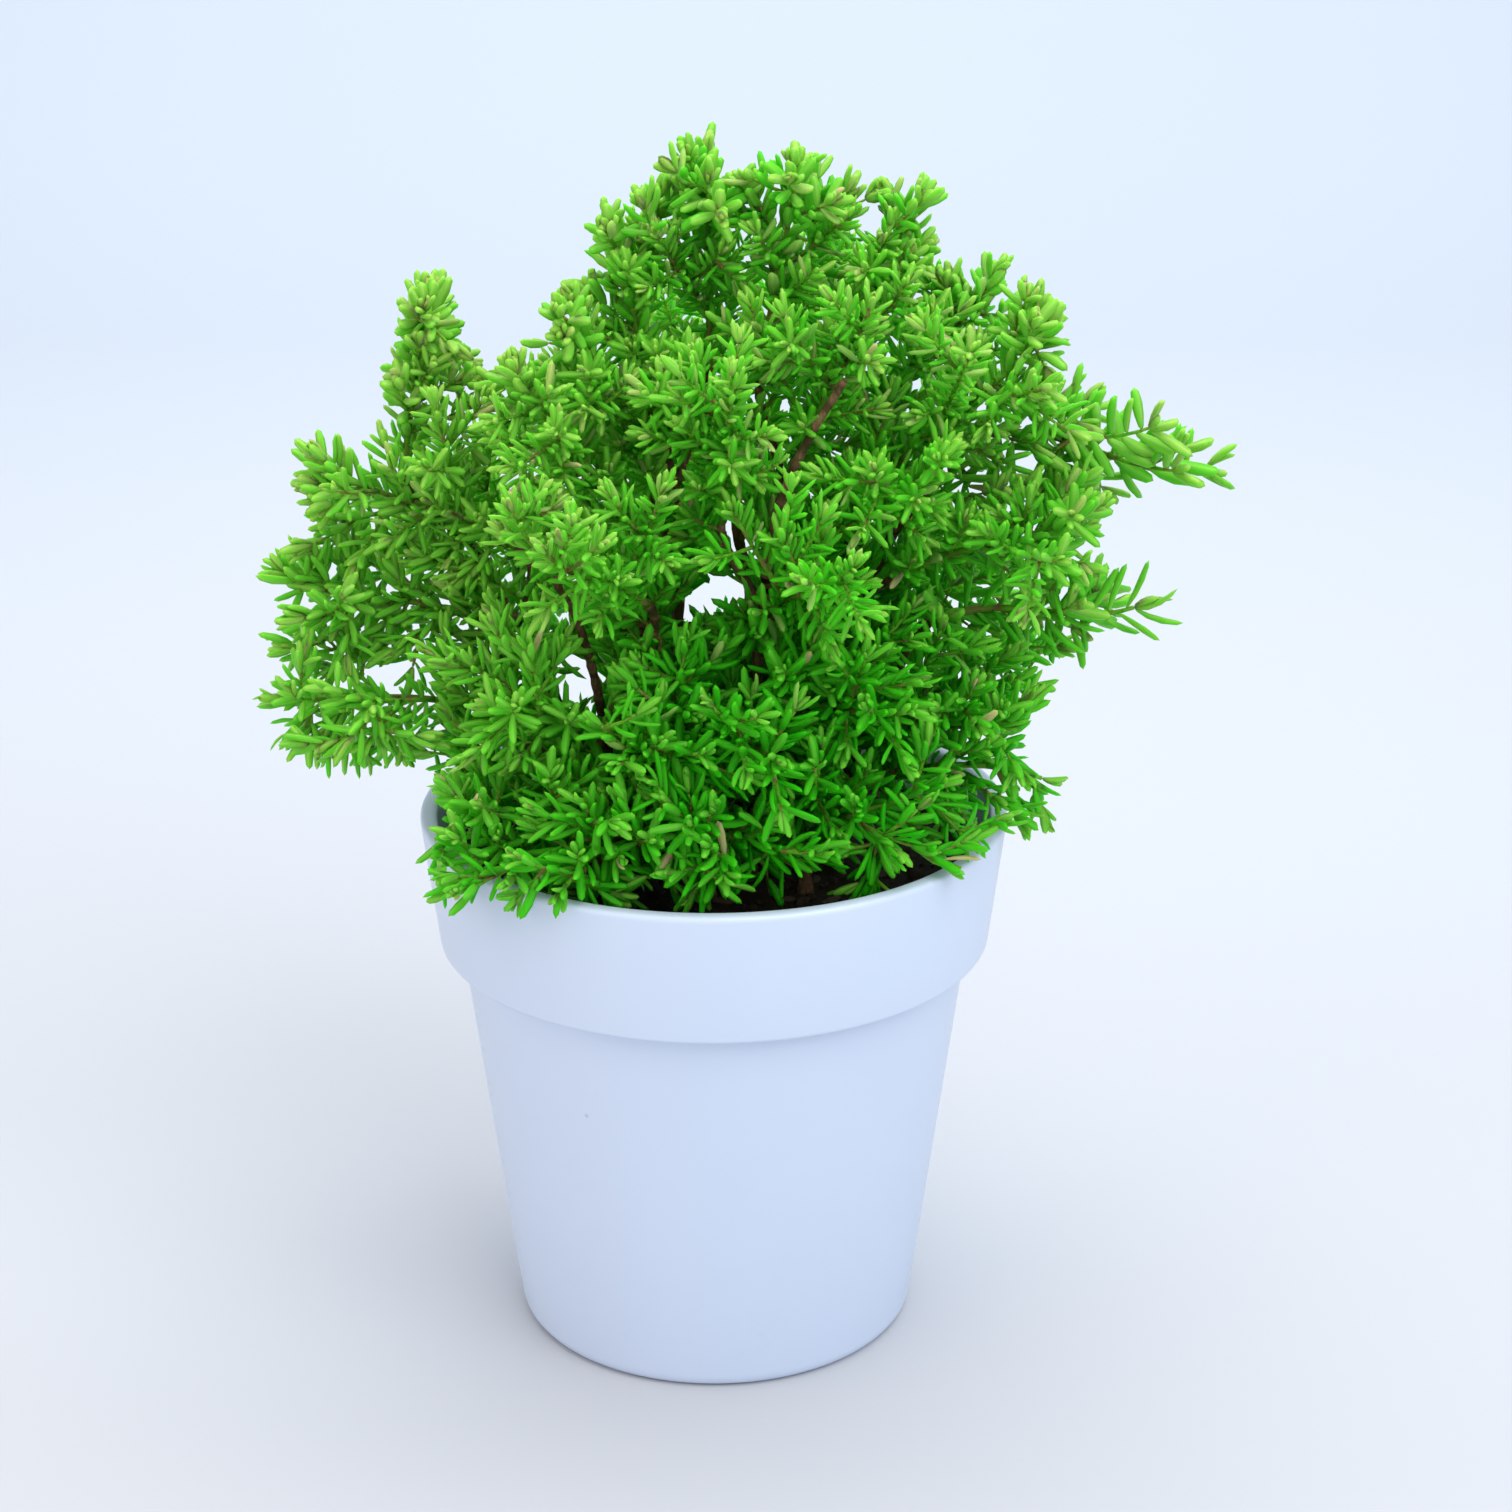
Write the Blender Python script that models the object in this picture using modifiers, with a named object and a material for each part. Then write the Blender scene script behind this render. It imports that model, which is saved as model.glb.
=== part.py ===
# A potted needle stonecrop: a tapered plastic flowerpot filled with soil, woody stems
# standing in the soil, and leafy sprays of needles on the ends of their branches.
# Metres, +Z up. The origin is the centre of the pot's flat base.

import math
import random

import bmesh
import bpy
import numpy as np
from mathutils import Matrix, Vector, geometry, noise

MM = 0.001
UP = Vector((0.0, 0.0, 1.0))
GOLDEN_ANGLE = math.radians(137.508)

# Gap kept between pieces that touch on the real plant
SEAT_GAP = 0.3 * MM

# Blender's noise vectors start from the clock unless they are seeded
SWAY_SEED = 16
noise.seed_set(SWAY_SEED)

# Pot
POT_HEIGHT = 0.122
RIM_RADIUS = 0.065
RIM_WIDTH = 0.0039
BAND_FOOT_Z = 0.092
BAND_FOOT_RADIUS = 0.0613
BODY_TOP_RADIUS = 0.0568
BASE_RADIUS = 0.0449
BASE_ROUNDING = 0.0027
EDGE_ROUNDING = 0.0014
POT_WALL = 0.0028
POT_FLOOR = 0.003
POT_SIDES = 32
DRAIN_HOLE_RADIUS = 0.003
DRAIN_RING_RADIUS = 0.026
DRAIN_HOLES = 4

# Soil
SOIL_TOP = 0.109
SOIL_LUMPS = 0.0016
LUMPS_A_METRE = 70.0
SOIL_SIDES = 24
ROOT_DEPTH = 0.016

# Woody stems. A trunk stops a little short of the feet it carries, and a twig's last stretch
# runs the same way as its spray.
STEM_RADIUS = 0.0017
TWIG_RADIUS = 0.00095
TRUNK_SWAY = 0.003
SWAYS_A_METRE = 45.0
TRUNK_REACH = 0.86
TWIG_LEAD = 0.003

# Where each stands on the soil and which side of the crown it feeds, in millimetres
STEMS = {
    "middle_right": ((5, 0), (22, -8, 262)),
    "middle_left": ((-7, 5), (-16, -6, 258)),
    "upper_left": ((-25, 9), (-72, 0, 215)),
    "lower_left": ((-24, -3), (-86, -8, 152)),
    "front_left": ((-17, -18), (-42, -46, 130)),
    "front": ((-1, -23), (6, -62, 132)),
    "front_right": ((20, -21), (46, -42, 134)),
    "right": ((27, -3), (80, -4, 152)),
    "upper_right": ((14, 8), (86, -8, 208)),
    "high_front_left": ((-10, -8), (-32, -58, 198)),
    "high_front_right": ((8, -11), (34, -56, 196)),
    "back_right": ((23, 24), (48, 58, 180)),
    "back": ((10, 19), (0, 62, 222)),
    "back_left": ((-17, 23), (-48, 58, 176)),
}

# Sprays that make the crown's outline: the tip of each, in millimetres, and its foot
# where that isn't simply nearer the crown's heart
OUTER_SPRAYS = {
    "top": ((-1, 8, 266), None),
    "top_left": ((-21, -6, 255), None),
    "top_middle": ((18, -8, 266), None),
    "top_right": ((44, 4, 257), None),
    "shoulder_right": ((61, 12, 240), None),
    "shoulder_front": ((71, -14, 234), None),
    "long_right": ((108, 0, 199), (60, 0, 206)),
    "middle_right": ((93, -8, 171), (50, -8, 168)),
    "front_right": ((80, -26, 198), None),
    "low_right": ((74, 12, 146), None),
    "low_right_front": ((67, -22, 147), None),
    "rim_right": ((74, -14, 132), (36, -10, 132)),
    "column_left": ((-60, 4, 237), (-66, 4, 198)),
    "high_left": ((-29, -14, 239), None),
    "front_left": ((-40, -28, 228), None),
    "apron_left": ((-47, -42, 160), (-25, -22, 145)),
    "apron_middle_left": ((-19, -56, 152), None),
    "apron_middle_right": ((14, -60, 154), None),
    "apron_right": ((42, -46, 160), None),
    "left": ((-84, -4, 203), None),
    "middle_left": ((-95, 2, 176), None),
    "low_left": ((-96, -8, 149), (-48, -8, 146)),
    "rim_left": ((-61, -34, 125), None),
    "rim_left_front": ((-53, -46, 122), None),
    "rim_front_left": ((-31, -59, 124), None),
    "rim_front": ((3, -60, 128), (4, -31, 127)),
    "rim_front_right": ((39, -51, 130), None),
}

# The rest of the crown fills a lopsided dome. Feet lie towards its heart, lower for low sprays.
SPRAY_COUNT = 43
CROWN_MIDDLE = Vector((-0.002, 0.004, 0.172))
CROWN_REACH = Vector((0.080, 0.078, 0.086))
CROWN_FALL = 0.062
HEART_LOWEST = 0.122
HEART_HIGHEST = 0.160
SPRAY_LENGTH = 0.047
SPRAY_RADIUS = 0.0010
SHOOT_RADIUS = 0.0011
SHOOTS_A_SPRAY = 2
TIP_TRIES = 60
SHOOT_TRIES = 14
CURVE_PULL = 0.38

# Gaps where the crown can be seen into or through: from, to and radius, in millimetres.
# Spray stems keep further from them than side shoots do.
STEM_GAP_MARGIN = 0.008
SHOOT_MARGIN = 0.004
CROWN_GAPS = (
    ((2, -90, 199), (0, 90, 143), 5.5),
    ((-25, -90, 175), (-28, 90, 119), 3.5),
    ((-66, -60, 169), (-70, 60, 132), 4.5),
    ((60, -70, 220), (65, 70, 176), 4.0),
    ((19, -90, 225), (18, -18, 203), 6.0),
)

# The crown's outline, seen from the front, in millimetres. Sprays and shoots stay a little inside.
VIEWPOINT = Vector((0.0093, -0.6430, 0.3716))
TIP_INSET = 0.005
SHOOT_INSET = 0.002
OUTLINE = (
    (-62, 96), (-66, 104), (-62, 116), (-61, 133), (-77, 130), (-86, 130), (-99, 138), (-100, 147),
    (-96, 150), (-97, 159), (-93, 168), (-97, 176), (-90, 183), (-85, 182), (-91, 198), (-87, 204),
    (-80, 206), (-74, 201), (-70, 212), (-68, 222), (-64, 239), (-53, 240), (-54, 231), (-47, 218),
    (-43, 224), (-34, 227), (-37, 233), (-24, 242), (-26, 249), (-23, 254), (-11, 259), (-10, 266),
    (0, 271), (2, 260), (16, 268), (33, 259), (43, 262), (50, 253), (46, 242), (60, 244), (72, 237),
    (76, 216), (97, 216), (109, 207), (112, 199), (108, 192), (91, 199), (84, 184), (79, 180),
    (94, 175), (97, 162), (70, 154), (74, 148), (69, 140), (66, 133), (77, 126), (74, 115), (64, 114),
    (53, 96),
)

# Needles
NEEDLE_LENGTH = 0.0096
NEEDLE_RADIUS = 0.00132
NEEDLE_WAIST = 0.0040
NEEDLE_SUNK = 0.0002
NEEDLES_ON_SPRAY = 7
NEEDLES_ON_SHOOT = 4
NEEDLE_TURNS = (0.0, 0.5, -0.5, 1.0, -1.0, 1.6, -1.6)

COLOURS = {
    "pot": ((0.70, 0.78, 0.92), 0.42),
    "soil": ((0.02, 0.015, 0.01), 0.95),
    "wood": ((0.16, 0.075, 0.035), 0.8),
    "leaf": ((0.07, 0.33, 0.025), 0.45),
}


def millimetres(values):
    return Vector(values) * MM


def material(name):
    colour, roughness = COLOURS[name]
    made = bpy.data.materials.new(name)
    made.use_nodes = True
    shader = made.node_tree.nodes["Principled BSDF"]
    shader.inputs["Base Color"].default_value = (*colour, 1.0)
    shader.inputs["Roughness"].default_value = roughness
    shader.inputs["Metallic"].default_value = 0.0
    return made


def new_object(name, data, collection):
    made = bpy.data.objects.new(name, data)
    collection.objects.link(made)
    return made


def remove(objects):
    for obj in list(objects):
        data = obj.data
        bpy.data.objects.remove(obj)
        if data.users == 0:
            {bpy.types.Mesh: bpy.data.meshes, bpy.types.Curve: bpy.data.curves}[type(data)].remove(data)


# Profiles


def rounded(corners, steps=2):
    """The corners (radius, height, rounding) of an outline, each with a rounding cut by a soft arc."""
    points = []
    for i, (radius, height, rounding) in enumerate(corners):
        here = Vector((radius, 0.0, height))
        if not rounding:
            points.append(here)
            continue
        before = Vector((corners[i - 1][0], 0.0, corners[i - 1][1]))
        after = Vector((corners[i + 1][0], 0.0, corners[i + 1][1]))
        first = here + (before - here).normalized() * rounding
        last = here + (after - here).normalized() * rounding
        for step in range(steps + 1):
            t = step / steps
            points.append(first * (1 - t) ** 2 + here * 2 * t * (1 - t) + last * t**2)
    return points


def pot_bore(gap=0.0):
    """The inside of the pot from its floor's edge up to its rim, drawn in by a gap."""
    return [
        (BASE_RADIUS - POT_WALL - gap, POT_FLOOR + gap),
        (BODY_TOP_RADIUS - POT_WALL - gap, BAND_FOOT_Z),
        (BAND_FOOT_RADIUS - POT_WALL - gap, BAND_FOOT_Z + POT_WALL + gap),
        (RIM_RADIUS - RIM_WIDTH - gap, POT_HEIGHT),
    ]


def make_pot(parts, cutters):
    bore = [(radius, height, 0) for radius, height in pot_bore()]
    corners = [(0.0, POT_FLOOR, 0)] + bore[:-1]
    corners += [
        (*bore[-1][:2], EDGE_ROUNDING),
        (RIM_RADIUS, POT_HEIGHT, EDGE_ROUNDING),
        (BAND_FOOT_RADIUS, BAND_FOOT_Z, 0),
        (BODY_TOP_RADIUS, BAND_FOOT_Z, 0),
        (BASE_RADIUS, 0.0, BASE_ROUNDING),
        (0.0, 0.0, 0),
    ]
    mesh = bpy.data.meshes.new("pot")
    points = rounded(corners)
    mesh.from_pydata(points, [(i, i + 1) for i in range(len(points) - 1)], [])
    pot = new_object("pot", mesh, parts)
    turn = pot.modifiers.new("turned", "SCREW")
    turn.steps = turn.render_steps = POT_SIDES
    turn.use_merge_vertices = True
    turn.merge_threshold = 0.00005
    holes = bpy.data.collections.new("drain_holes")
    cutters.children.link(holes)
    for i in range(DRAIN_HOLES):
        angle = math.tau * (i + 0.5) / DRAIN_HOLES
        place = Vector((math.cos(angle), math.sin(angle), 0.0)) * DRAIN_RING_RADIUS
        cutter(holes, place, DRAIN_HOLE_RADIUS, -POT_FLOOR, 2 * POT_FLOOR)
    cut = pot.modifiers.new("drain_holes", "BOOLEAN")
    cut.operand_type = "COLLECTION"
    cut.collection = holes
    pot.data.materials.append(material("pot"))
    return pot


def cutter(collection, place, radius, bottom, top, sides=10):
    """An upright round cutter between two heights."""
    bm = bmesh.new()
    bmesh.ops.create_cone(
        bm, cap_ends=True, segments=sides, radius1=radius, radius2=radius, depth=top - bottom
    )
    mesh = bpy.data.meshes.new("cutter")
    bm.to_mesh(mesh)
    bm.free()
    made = new_object("cutter", mesh, collection)
    made.location = (place.x, place.y, (top + bottom) / 2)
    made.hide_render = True
    made.display_type = "WIRE"
    return made


def soil_height(x, y):
    """The soil's surface, low lumps on a nearly level top."""
    broad = noise.noise(Vector((x, y, 0.0)) * LUMPS_A_METRE)
    fine = noise.noise(Vector((x, y, 0.3)) * LUMPS_A_METRE * 2.3)
    return SOIL_TOP + SOIL_LUMPS * (broad + 0.5 * fine)


def make_soil(parts, cutters):
    bore = pot_bore(SEAT_GAP)
    share = (SOIL_TOP - bore[2][1]) / (bore[3][1] - bore[2][1])
    edge = bore[2][0] + (bore[3][0] - bore[2][0]) * share
    rings = [edge * fraction for fraction in (1.0, 0.68, 0.34)]
    profile = [(0.0, SOIL_TOP)] + [(ring, SOIL_TOP) for ring in reversed(rings)]
    profile += [bore[2], bore[1], bore[0], (0.0, bore[0][1])]
    bm = bmesh.new()
    points = [bm.verts.new((radius, 0.0, height)) for radius, height in profile]
    edges = [bm.edges.new(pair) for pair in zip(points, points[1:])]
    bmesh.ops.spin(
        bm, geom=points + edges, cent=(0, 0, 0), axis=UP, angle=math.tau, steps=SOIL_SIDES,
        use_merge=True,
    )
    bmesh.ops.remove_doubles(bm, verts=bm.verts, dist=0.00005)
    bmesh.ops.recalc_face_normals(bm, faces=bm.faces)
    for vert in bm.verts:
        if vert.co.z > SOIL_TOP - 0.0001:
            vert.co.z = soil_height(vert.co.x, vert.co.y)
    mesh = bpy.data.meshes.new("soil")
    bm.to_mesh(mesh)
    bm.free()
    soil = new_object("soil", mesh, parts)
    holes = bpy.data.collections.new("stem_holes")
    cutters.children.link(holes)
    for (x, y), _ in STEMS.values():
        cutter(
            holes, millimetres((x, y, 0)), STEM_RADIUS + 2 * SEAT_GAP,
            SOIL_TOP - ROOT_DEPTH - SEAT_GAP, SOIL_TOP + 0.01, 6,
        )
    cut = soil.modifiers.new("stem_holes", "BOOLEAN")
    cut.operand_type = "COLLECTION"
    cut.collection = holes
    soil.data.materials.append(material("soil"))
    return soil


# The plant's lines: the routes of trunks, twigs, sprays and side shoots


def curve_points(start, leaving, end, arriving, count):
    """Points on a smooth curve between two places, with the direction given at each end."""
    pull = (end - start).length * CURVE_PULL
    return geometry.interpolate_bezier(
        start, start + leaving * pull, end - arriving * pull, end, count
    )


def finely(line, step=1.2 * MM):
    """The line's points with more between them, close enough to stand for a round rod."""
    points = [line[0]]
    for start, end in zip(line, line[1:]):
        count = max(1, math.ceil((end - start).length / step))
        points += [start.lerp(end, (i + 1) / count) for i in range(count)]
    return points


def between(value, low, high):
    return max(low, min(high, value))


def nearest(place, taken):
    return min((place - other).length for other in taken)


def in_gap(place, margin):
    """Whether a place lies in one of the crown's gaps, or within a margin of it."""
    for start, end, radius in CROWN_GAPS:
        axis, share = geometry.intersect_point_line(place, millimetres(start), millimetres(end))
        if 0 < share < 1 and (place - axis).length < radius * MM + margin:
            return True
    return False


def outlined(x, z):
    """Whether a point of the front view, in millimetres, lies inside the crown's outline."""
    inside = False
    for (x0, z0), (x1, z1) in zip(OUTLINE, OUTLINE[1:] + OUTLINE[:1]):
        if (z0 > z) != (z1 > z) and x < x0 + (z - z0) * (x1 - x0) / (z1 - z0):
            inside = not inside
    return inside


def in_outline(place, margin):
    """Whether a place is seen inside the crown's outline, by a margin on each side."""
    seen = VIEWPOINT + (place - VIEWPOINT) * VIEWPOINT.y / (VIEWPOINT.y - place.y)
    steps = ((-margin, 0), (margin, 0), (0, -margin), (0, margin))
    return all(outlined((seen.x + x) / MM, (seen.z + z) / MM) for x, z in steps)


def over_pot(place, margin):
    """How far a place is above the rim or the soil, beyond a margin."""
    reach = math.hypot(place.x, place.y)
    if reach > RIM_RADIUS + margin:
        return place.z
    floor = POT_HEIGHT if reach > RIM_RADIUS - RIM_WIDTH - margin else SOIL_TOP + SOIL_LUMPS
    return place.z - floor - margin


def crown_tip(rng):
    """A place on the crown's surface, anywhere round it."""
    height = rng.uniform(-0.6, 0.97)
    turn = rng.uniform(0.0, math.tau)
    across = math.sqrt(1.0 - height * height)
    swell = rng.uniform(0.92, 1.03)
    rise = CROWN_REACH.z if height > 0 else CROWN_FALL
    offset = Vector((CROWN_REACH.x * across * math.cos(turn), CROWN_REACH.y * across * math.sin(turn), 0))
    return CROWN_MIDDLE + (offset + UP * rise * height) * swell


def foot_of(tip):
    """Where a spray starts, towards the crown's heart from its tip. Low sprays are shorter."""
    heart = UP * between(0.07 + 0.45 * tip.z, HEART_LOWEST, HEART_HIGHEST)
    length = SPRAY_LENGTH * between(0.8 + 5 * (tip.z - 0.140), 0.8, 1.0)
    return tip + (heart - tip).normalized() * length


def spray_ends(rng):
    """(foot, tip) of every spray by name: those of the outline, then the rest, well apart."""
    ends = {}
    for name, (tip, foot) in OUTER_SPRAYS.items():
        tip = millimetres(tip)
        ends[name] = (millimetres(foot) if foot else foot_of(tip), tip)
    while len(ends) < SPRAY_COUNT:
        best = None
        for _ in range(TIP_TRIES):
            tip = crown_tip(rng)
            foot = foot_of(tip)
            if any(in_gap(foot.lerp(tip, t), STEM_GAP_MARGIN) for t in (0.2, 0.5, 0.8, 1.0)):
                continue
            if not in_outline(tip, TIP_INSET):
                continue
            room = nearest(tip, [other for _, other in ends.values()])
            room = min(room, 2.5 * nearest(foot, [other for other, _ in ends.values()]))
            if best is None or room > best[0]:
                best = (room, foot, tip)
        ends["fill_%02d" % (len(ends) + 1)] = best[1:]
    return ends


def spray_line(foot, tip):
    """The spray's own stem, rising towards its tip high in the crown and drooping low down."""
    along = (tip - foot).normalized()
    lift = between((tip.z - 0.150) / 0.050, -0.7, 0.5)
    leaving = (along + UP * 0.3).normalized()
    arriving = (along + UP * lift).normalized()
    return curve_points(foot, leaving, tip, arriving, 5)


def trunk_line(root, feet):
    """A trunk from the soil to a little short of the middle of the feet that it carries."""
    start = millimetres((*root, 0)) + UP * (SOIL_TOP + 0.002)
    middle = sum(feet, Vector()) / len(feet)
    end = start.lerp(middle, TRUNK_REACH)
    arriving = (end - start).normalized()
    line = curve_points(start, (UP + arriving * 0.4).normalized(), end, arriving, 5)
    swayed = [point + noise.noise_vector(point * SWAYS_A_METRE) * TRUNK_SWAY for point in line[1:-1]]
    return [start, *swayed, end]


def twig_line(trunk, foot, arriving, taken):
    """A twig from its trunk to a spray's foot, short but clear of the other stems."""
    best = None
    for place in range(1, len(trunk)):
        start = trunk[place]
        line = [start, foot - arriving * TWIG_LEAD, foot]
        turned = (foot - start).angle(start - trunk[place - 1]) + arriving.angle(foot - start)
        room = min(nearest(point, taken) for point in finely(line))
        score = 3 * min(room, 0.004) - 0.2 * (foot - start).length - 0.004 * turned
        if best is None or score > best[0]:
            best = (score, line)
    return best[1]


def shoot_ends(line, share, turn, tilt, length):
    """The start and tip of a side shoot, from a share of the way along a spray's stem."""
    place = round(share * (len(line) - 1))
    along = (line[place] - line[place - 1]).normalized()
    side = along.orthogonal().normalized()
    side.rotate(Matrix.Rotation(turn, 3, along))
    leaving = (along * math.cos(tilt) + side * math.sin(tilt) + UP * 0.12).normalized()
    return [line[place], line[place] + leaving * length]


def side_shoots(line, rng, taken):
    """Side shoots along a spray, each the roomiest of several tries."""
    made = []
    for i in range(SHOOTS_A_SPRAY):
        share = 0.25 + 0.42 * (i + rng.uniform(0.0, 0.6)) / SHOOTS_A_SPRAY
        best = None
        for _ in range(SHOOT_TRIES):
            turn = rng.uniform(0.0, math.tau)
            tilt = math.radians(rng.uniform(38, 54))
            length = rng.uniform(0.58, 0.74) * (1.25 - share) * SPRAY_LENGTH
            start, tip = shoot_ends(line, share, turn, tilt, length)
            body = [start.lerp(tip, t) for t in (0.4, 0.6, 0.8, 1.0)]
            room = min(nearest(point, taken) for point in body)
            if any(over_pot(point, SHOOT_MARGIN) < 0 for point in body):
                room -= 0.1
            if any(in_gap(point, SHOOT_MARGIN) for point in body):
                room -= 0.05
            if not in_outline(tip, SHOOT_INSET):
                room -= 0.03
            if best is None or room > best[0]:
                best = (room, start, tip, body)
        made.append(best[1:3])
        taken.extend(best[3])
    return made


def plant_lines():
    """Trunks by name, twigs by spray, and each spray's stem with its side shoots."""
    rng = random.Random(52)
    ends = spray_ends(rng)
    feeding = {}
    for name, (foot, tip) in ends.items():
        stem = min(STEMS, key=lambda each: (millimetres(STEMS[each][1]) - tip).length)
        feeding.setdefault(stem, []).append(name)
    sprays = {name: [spray_line(*ends[name])] for fed in feeding.values() for name in fed}
    trunks = {
        stem: trunk_line(STEMS[stem][0], [ends[name][0] for name in fed])
        for stem, fed in feeding.items()
    }
    stems = {stem: finely(trunk) for stem, trunk in trunks.items()}
    twigs = {}
    for stem, fed in feeding.items():
        for name in fed:
            others = [point for other in stems if other != stem for point in stems[other]]
            others += [point for other in sprays if other != name for point in sprays[other][0]]
            line = sprays[name][0]
            twig = twig_line(trunks[stem], line[0], (line[1] - line[0]).normalized(), others)
            twigs[name] = (stem, twig)
            stems[stem] = stems[stem] + finely(twig)
    taken = [point for points in stems.values() for point in points]
    taken += [point for lines in sprays.values() for point in lines[0]]
    for lines in sprays.values():
        lines.extend(side_shoots(lines[0], rng, taken))
    return trunks, twigs, sprays


# Solids along those lines


class Crowd:
    """The round places that pieces take up, so that the pieces of different nodes stay apart."""

    def __init__(self):
        self.places = np.empty((0, 3))
        self.radii = np.empty(0)
        self.owners = np.empty(0, dtype=int)
        self.names = []

    def number(self, owner):
        if owner not in self.names:
            self.names.append(owner)
        return self.names.index(owner)

    def add(self, owner, points, radius):
        self.places = np.vstack([self.places, np.array([tuple(point) for point in points])])
        self.radii = np.append(self.radii, [radius] * len(points))
        self.owners = np.append(self.owners, [self.number(owner)] * len(points))

    def room(self, owner, points, radius):
        """The clear distance, up to 5 mm, from round places of one owner to all the others'."""
        own = np.array([tuple(point) for point in points])
        reach = 5 * MM + 2 * radius
        close = (self.places > own.min(axis=0) - reach) & (self.places < own.max(axis=0) + reach)
        others = close.all(axis=1) & (self.owners != self.number(owner))
        if not others.any():
            return 5 * MM
        away = self.places[others][:, None] - own[None]
        clear = np.linalg.norm(away, axis=2) - self.radii[others][:, None] - radius
        return clear.min()


def tube(line, radii, collection):
    """A capped four-sided tube through the points, as a mesh object."""
    curve = bpy.data.curves.new("tube", "CURVE")
    curve.dimensions = "3D"
    curve.bevel_depth = 1.0
    curve.bevel_resolution = 0
    curve.use_fill_caps = True
    spline = curve.splines.new("POLY")
    spline.points.add(len(line) - 1)
    for spot, place, radius in zip(spline.points, line, radii):
        spot.co = (*place, 1.0)
        spot.radius = radius
    drawn = new_object("tube", curve, collection)
    graph = bpy.context.evaluated_depsgraph_get()
    mesh = bpy.data.meshes.new_from_object(drawn.evaluated_get(graph))
    remove([drawn])
    bm = bmesh.new()
    bm.from_mesh(mesh)
    bmesh.ops.remove_doubles(bm, verts=bm.verts, dist=0.00001)
    bmesh.ops.recalc_face_normals(bm, faces=bm.faces)
    bm.to_mesh(mesh)
    bm.free()
    return new_object("tube", mesh, collection)


def tapered(start, end, count):
    return [start + (end - start) * i / (count - 1) for i in range(count)]


def fused(name, trunk, others, parts, look):
    """The trunk joined to everything in a collection, as one plain mesh object."""
    union = trunk.modifiers.new("fused", "BOOLEAN")
    union.operation = "UNION"
    union.operand_type = "COLLECTION"
    union.collection = others
    union.solver = "MANIFOLD"
    graph = bpy.context.evaluated_depsgraph_get()
    mesh = bpy.data.meshes.new_from_object(trunk.evaluated_get(graph))
    mesh.name = name
    mesh.materials.clear()
    mesh.materials.append(look)
    remove([trunk])
    remove(others.objects)
    bpy.data.collections.remove(others)
    return new_object(name, mesh, parts)


def make_stem(name, trunk, twigs, parts, work, look):
    """A woody stem: the foot in its hole, the trunk, and a twig to each of its sprays."""
    foot = Vector((trunk[0].x, trunk[0].y, SOIL_TOP - ROOT_DEPTH))
    line = [foot] + trunk
    radii = [STEM_RADIUS] + tapered(STEM_RADIUS, TWIG_RADIUS * 1.25, len(line) - 1)
    body = tube(line, radii, work)
    branches = bpy.data.collections.new("twigs")
    work.children.link(branches)
    for twig in twigs:
        tube(twig, tapered(TWIG_RADIUS * 1.05, TWIG_RADIUS, len(twig)), branches)
    return fused("stem_" + name, body, branches, parts, look)


def spindle(sunk, waist, length, radius):
    """A three-sided spike along +Z: it starts a little behind the origin and is thickest at its waist."""
    bm = bmesh.new()
    bmesh.ops.create_uvsphere(bm, u_segments=3, v_segments=2, radius=1.0)
    for vert in bm.verts:
        height = length if vert.co.z > 0.5 else -sunk if vert.co.z < -0.5 else waist
        vert.co = (vert.co.x * radius, vert.co.y * radius, height)
    mesh = bpy.data.meshes.new("spindle")
    bm.to_mesh(mesh)
    bm.free()
    return mesh


def needle_places(owner, line, first, count, rng, crowd):
    """(root, direction, length) of needles spaced along a shoot and turned round it."""
    turn = rng.uniform(0.0, math.tau)
    for i in range(count):
        share = first + (0.97 - first) * (i + 0.5) / count
        spot = share * (len(line) - 1)
        place = int(spot)
        root = line[place].lerp(line[place + 1], spot - place)
        along = (line[place + 1] - line[place]).normalized()
        side = along.orthogonal().normalized()
        turn += GOLDEN_ANGLE
        tilt = math.radians(68 - 34 * share**2)
        growth = rng.uniform(0.88, 1.04)
        for shift in NEEDLE_TURNS:
            out = side.copy()
            out.rotate(Matrix.Rotation(turn + shift, 3, along))
            direction = along * math.cos(tilt) + out * math.sin(tilt)
            body = [root + direction * NEEDLE_LENGTH * growth * t / 5 for t in range(1, 6)]
            if any(over_pot(point, NEEDLE_RADIUS) < 0 for point in body):
                continue
            if any(in_gap(point, 0.0) for point in body):
                continue
            if crowd.room(owner, body, NEEDLE_RADIUS) < SEAT_GAP:
                continue
            crowd.add(owner, body, NEEDLE_RADIUS)
            yield root, direction, growth
            break


def make_spray(name, lines, leaving, rng, crowd, parts, work, look):
    """A leafy spray: its stem and side shoots with needles all round them, in one body."""
    stem, *shoots = lines
    needle = spindle(NEEDLE_SUNK, NEEDLE_WAIST, NEEDLE_LENGTH, NEEDLE_RADIUS)
    line = [stem[0] + leaving * SEAT_GAP] + stem[1:]
    body = tube(line, tapered(SPRAY_RADIUS, 0.6 * SPRAY_RADIUS, len(line)), work)
    others = bpy.data.collections.new("leaves")
    work.children.link(others)
    for start, tip in shoots:
        length = (tip - start).length
        mesh = spindle(NEEDLE_SUNK, 0.3 * length, 1.1 * length, SHOOT_RADIUS)
        core = new_object("core", mesh, others)
        core.matrix_world = Matrix.LocRotScale(start, (tip - start).to_track_quat("Z", "Y"), None)
    for i, route in enumerate(lines):
        first, count = (0.12, NEEDLES_ON_SPRAY) if i == 0 else (0.3, NEEDLES_ON_SHOOT)
        for root, direction, growth in needle_places(name, route, first, count, rng, crowd):
            leaf = new_object("needle", needle, others)
            leaf.matrix_world = Matrix.LocRotScale(
                root, direction.to_track_quat("Z", "Y"), Vector((growth, growth, growth))
            )
    return fused("spray_" + name, body, others, parts, look)


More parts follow.
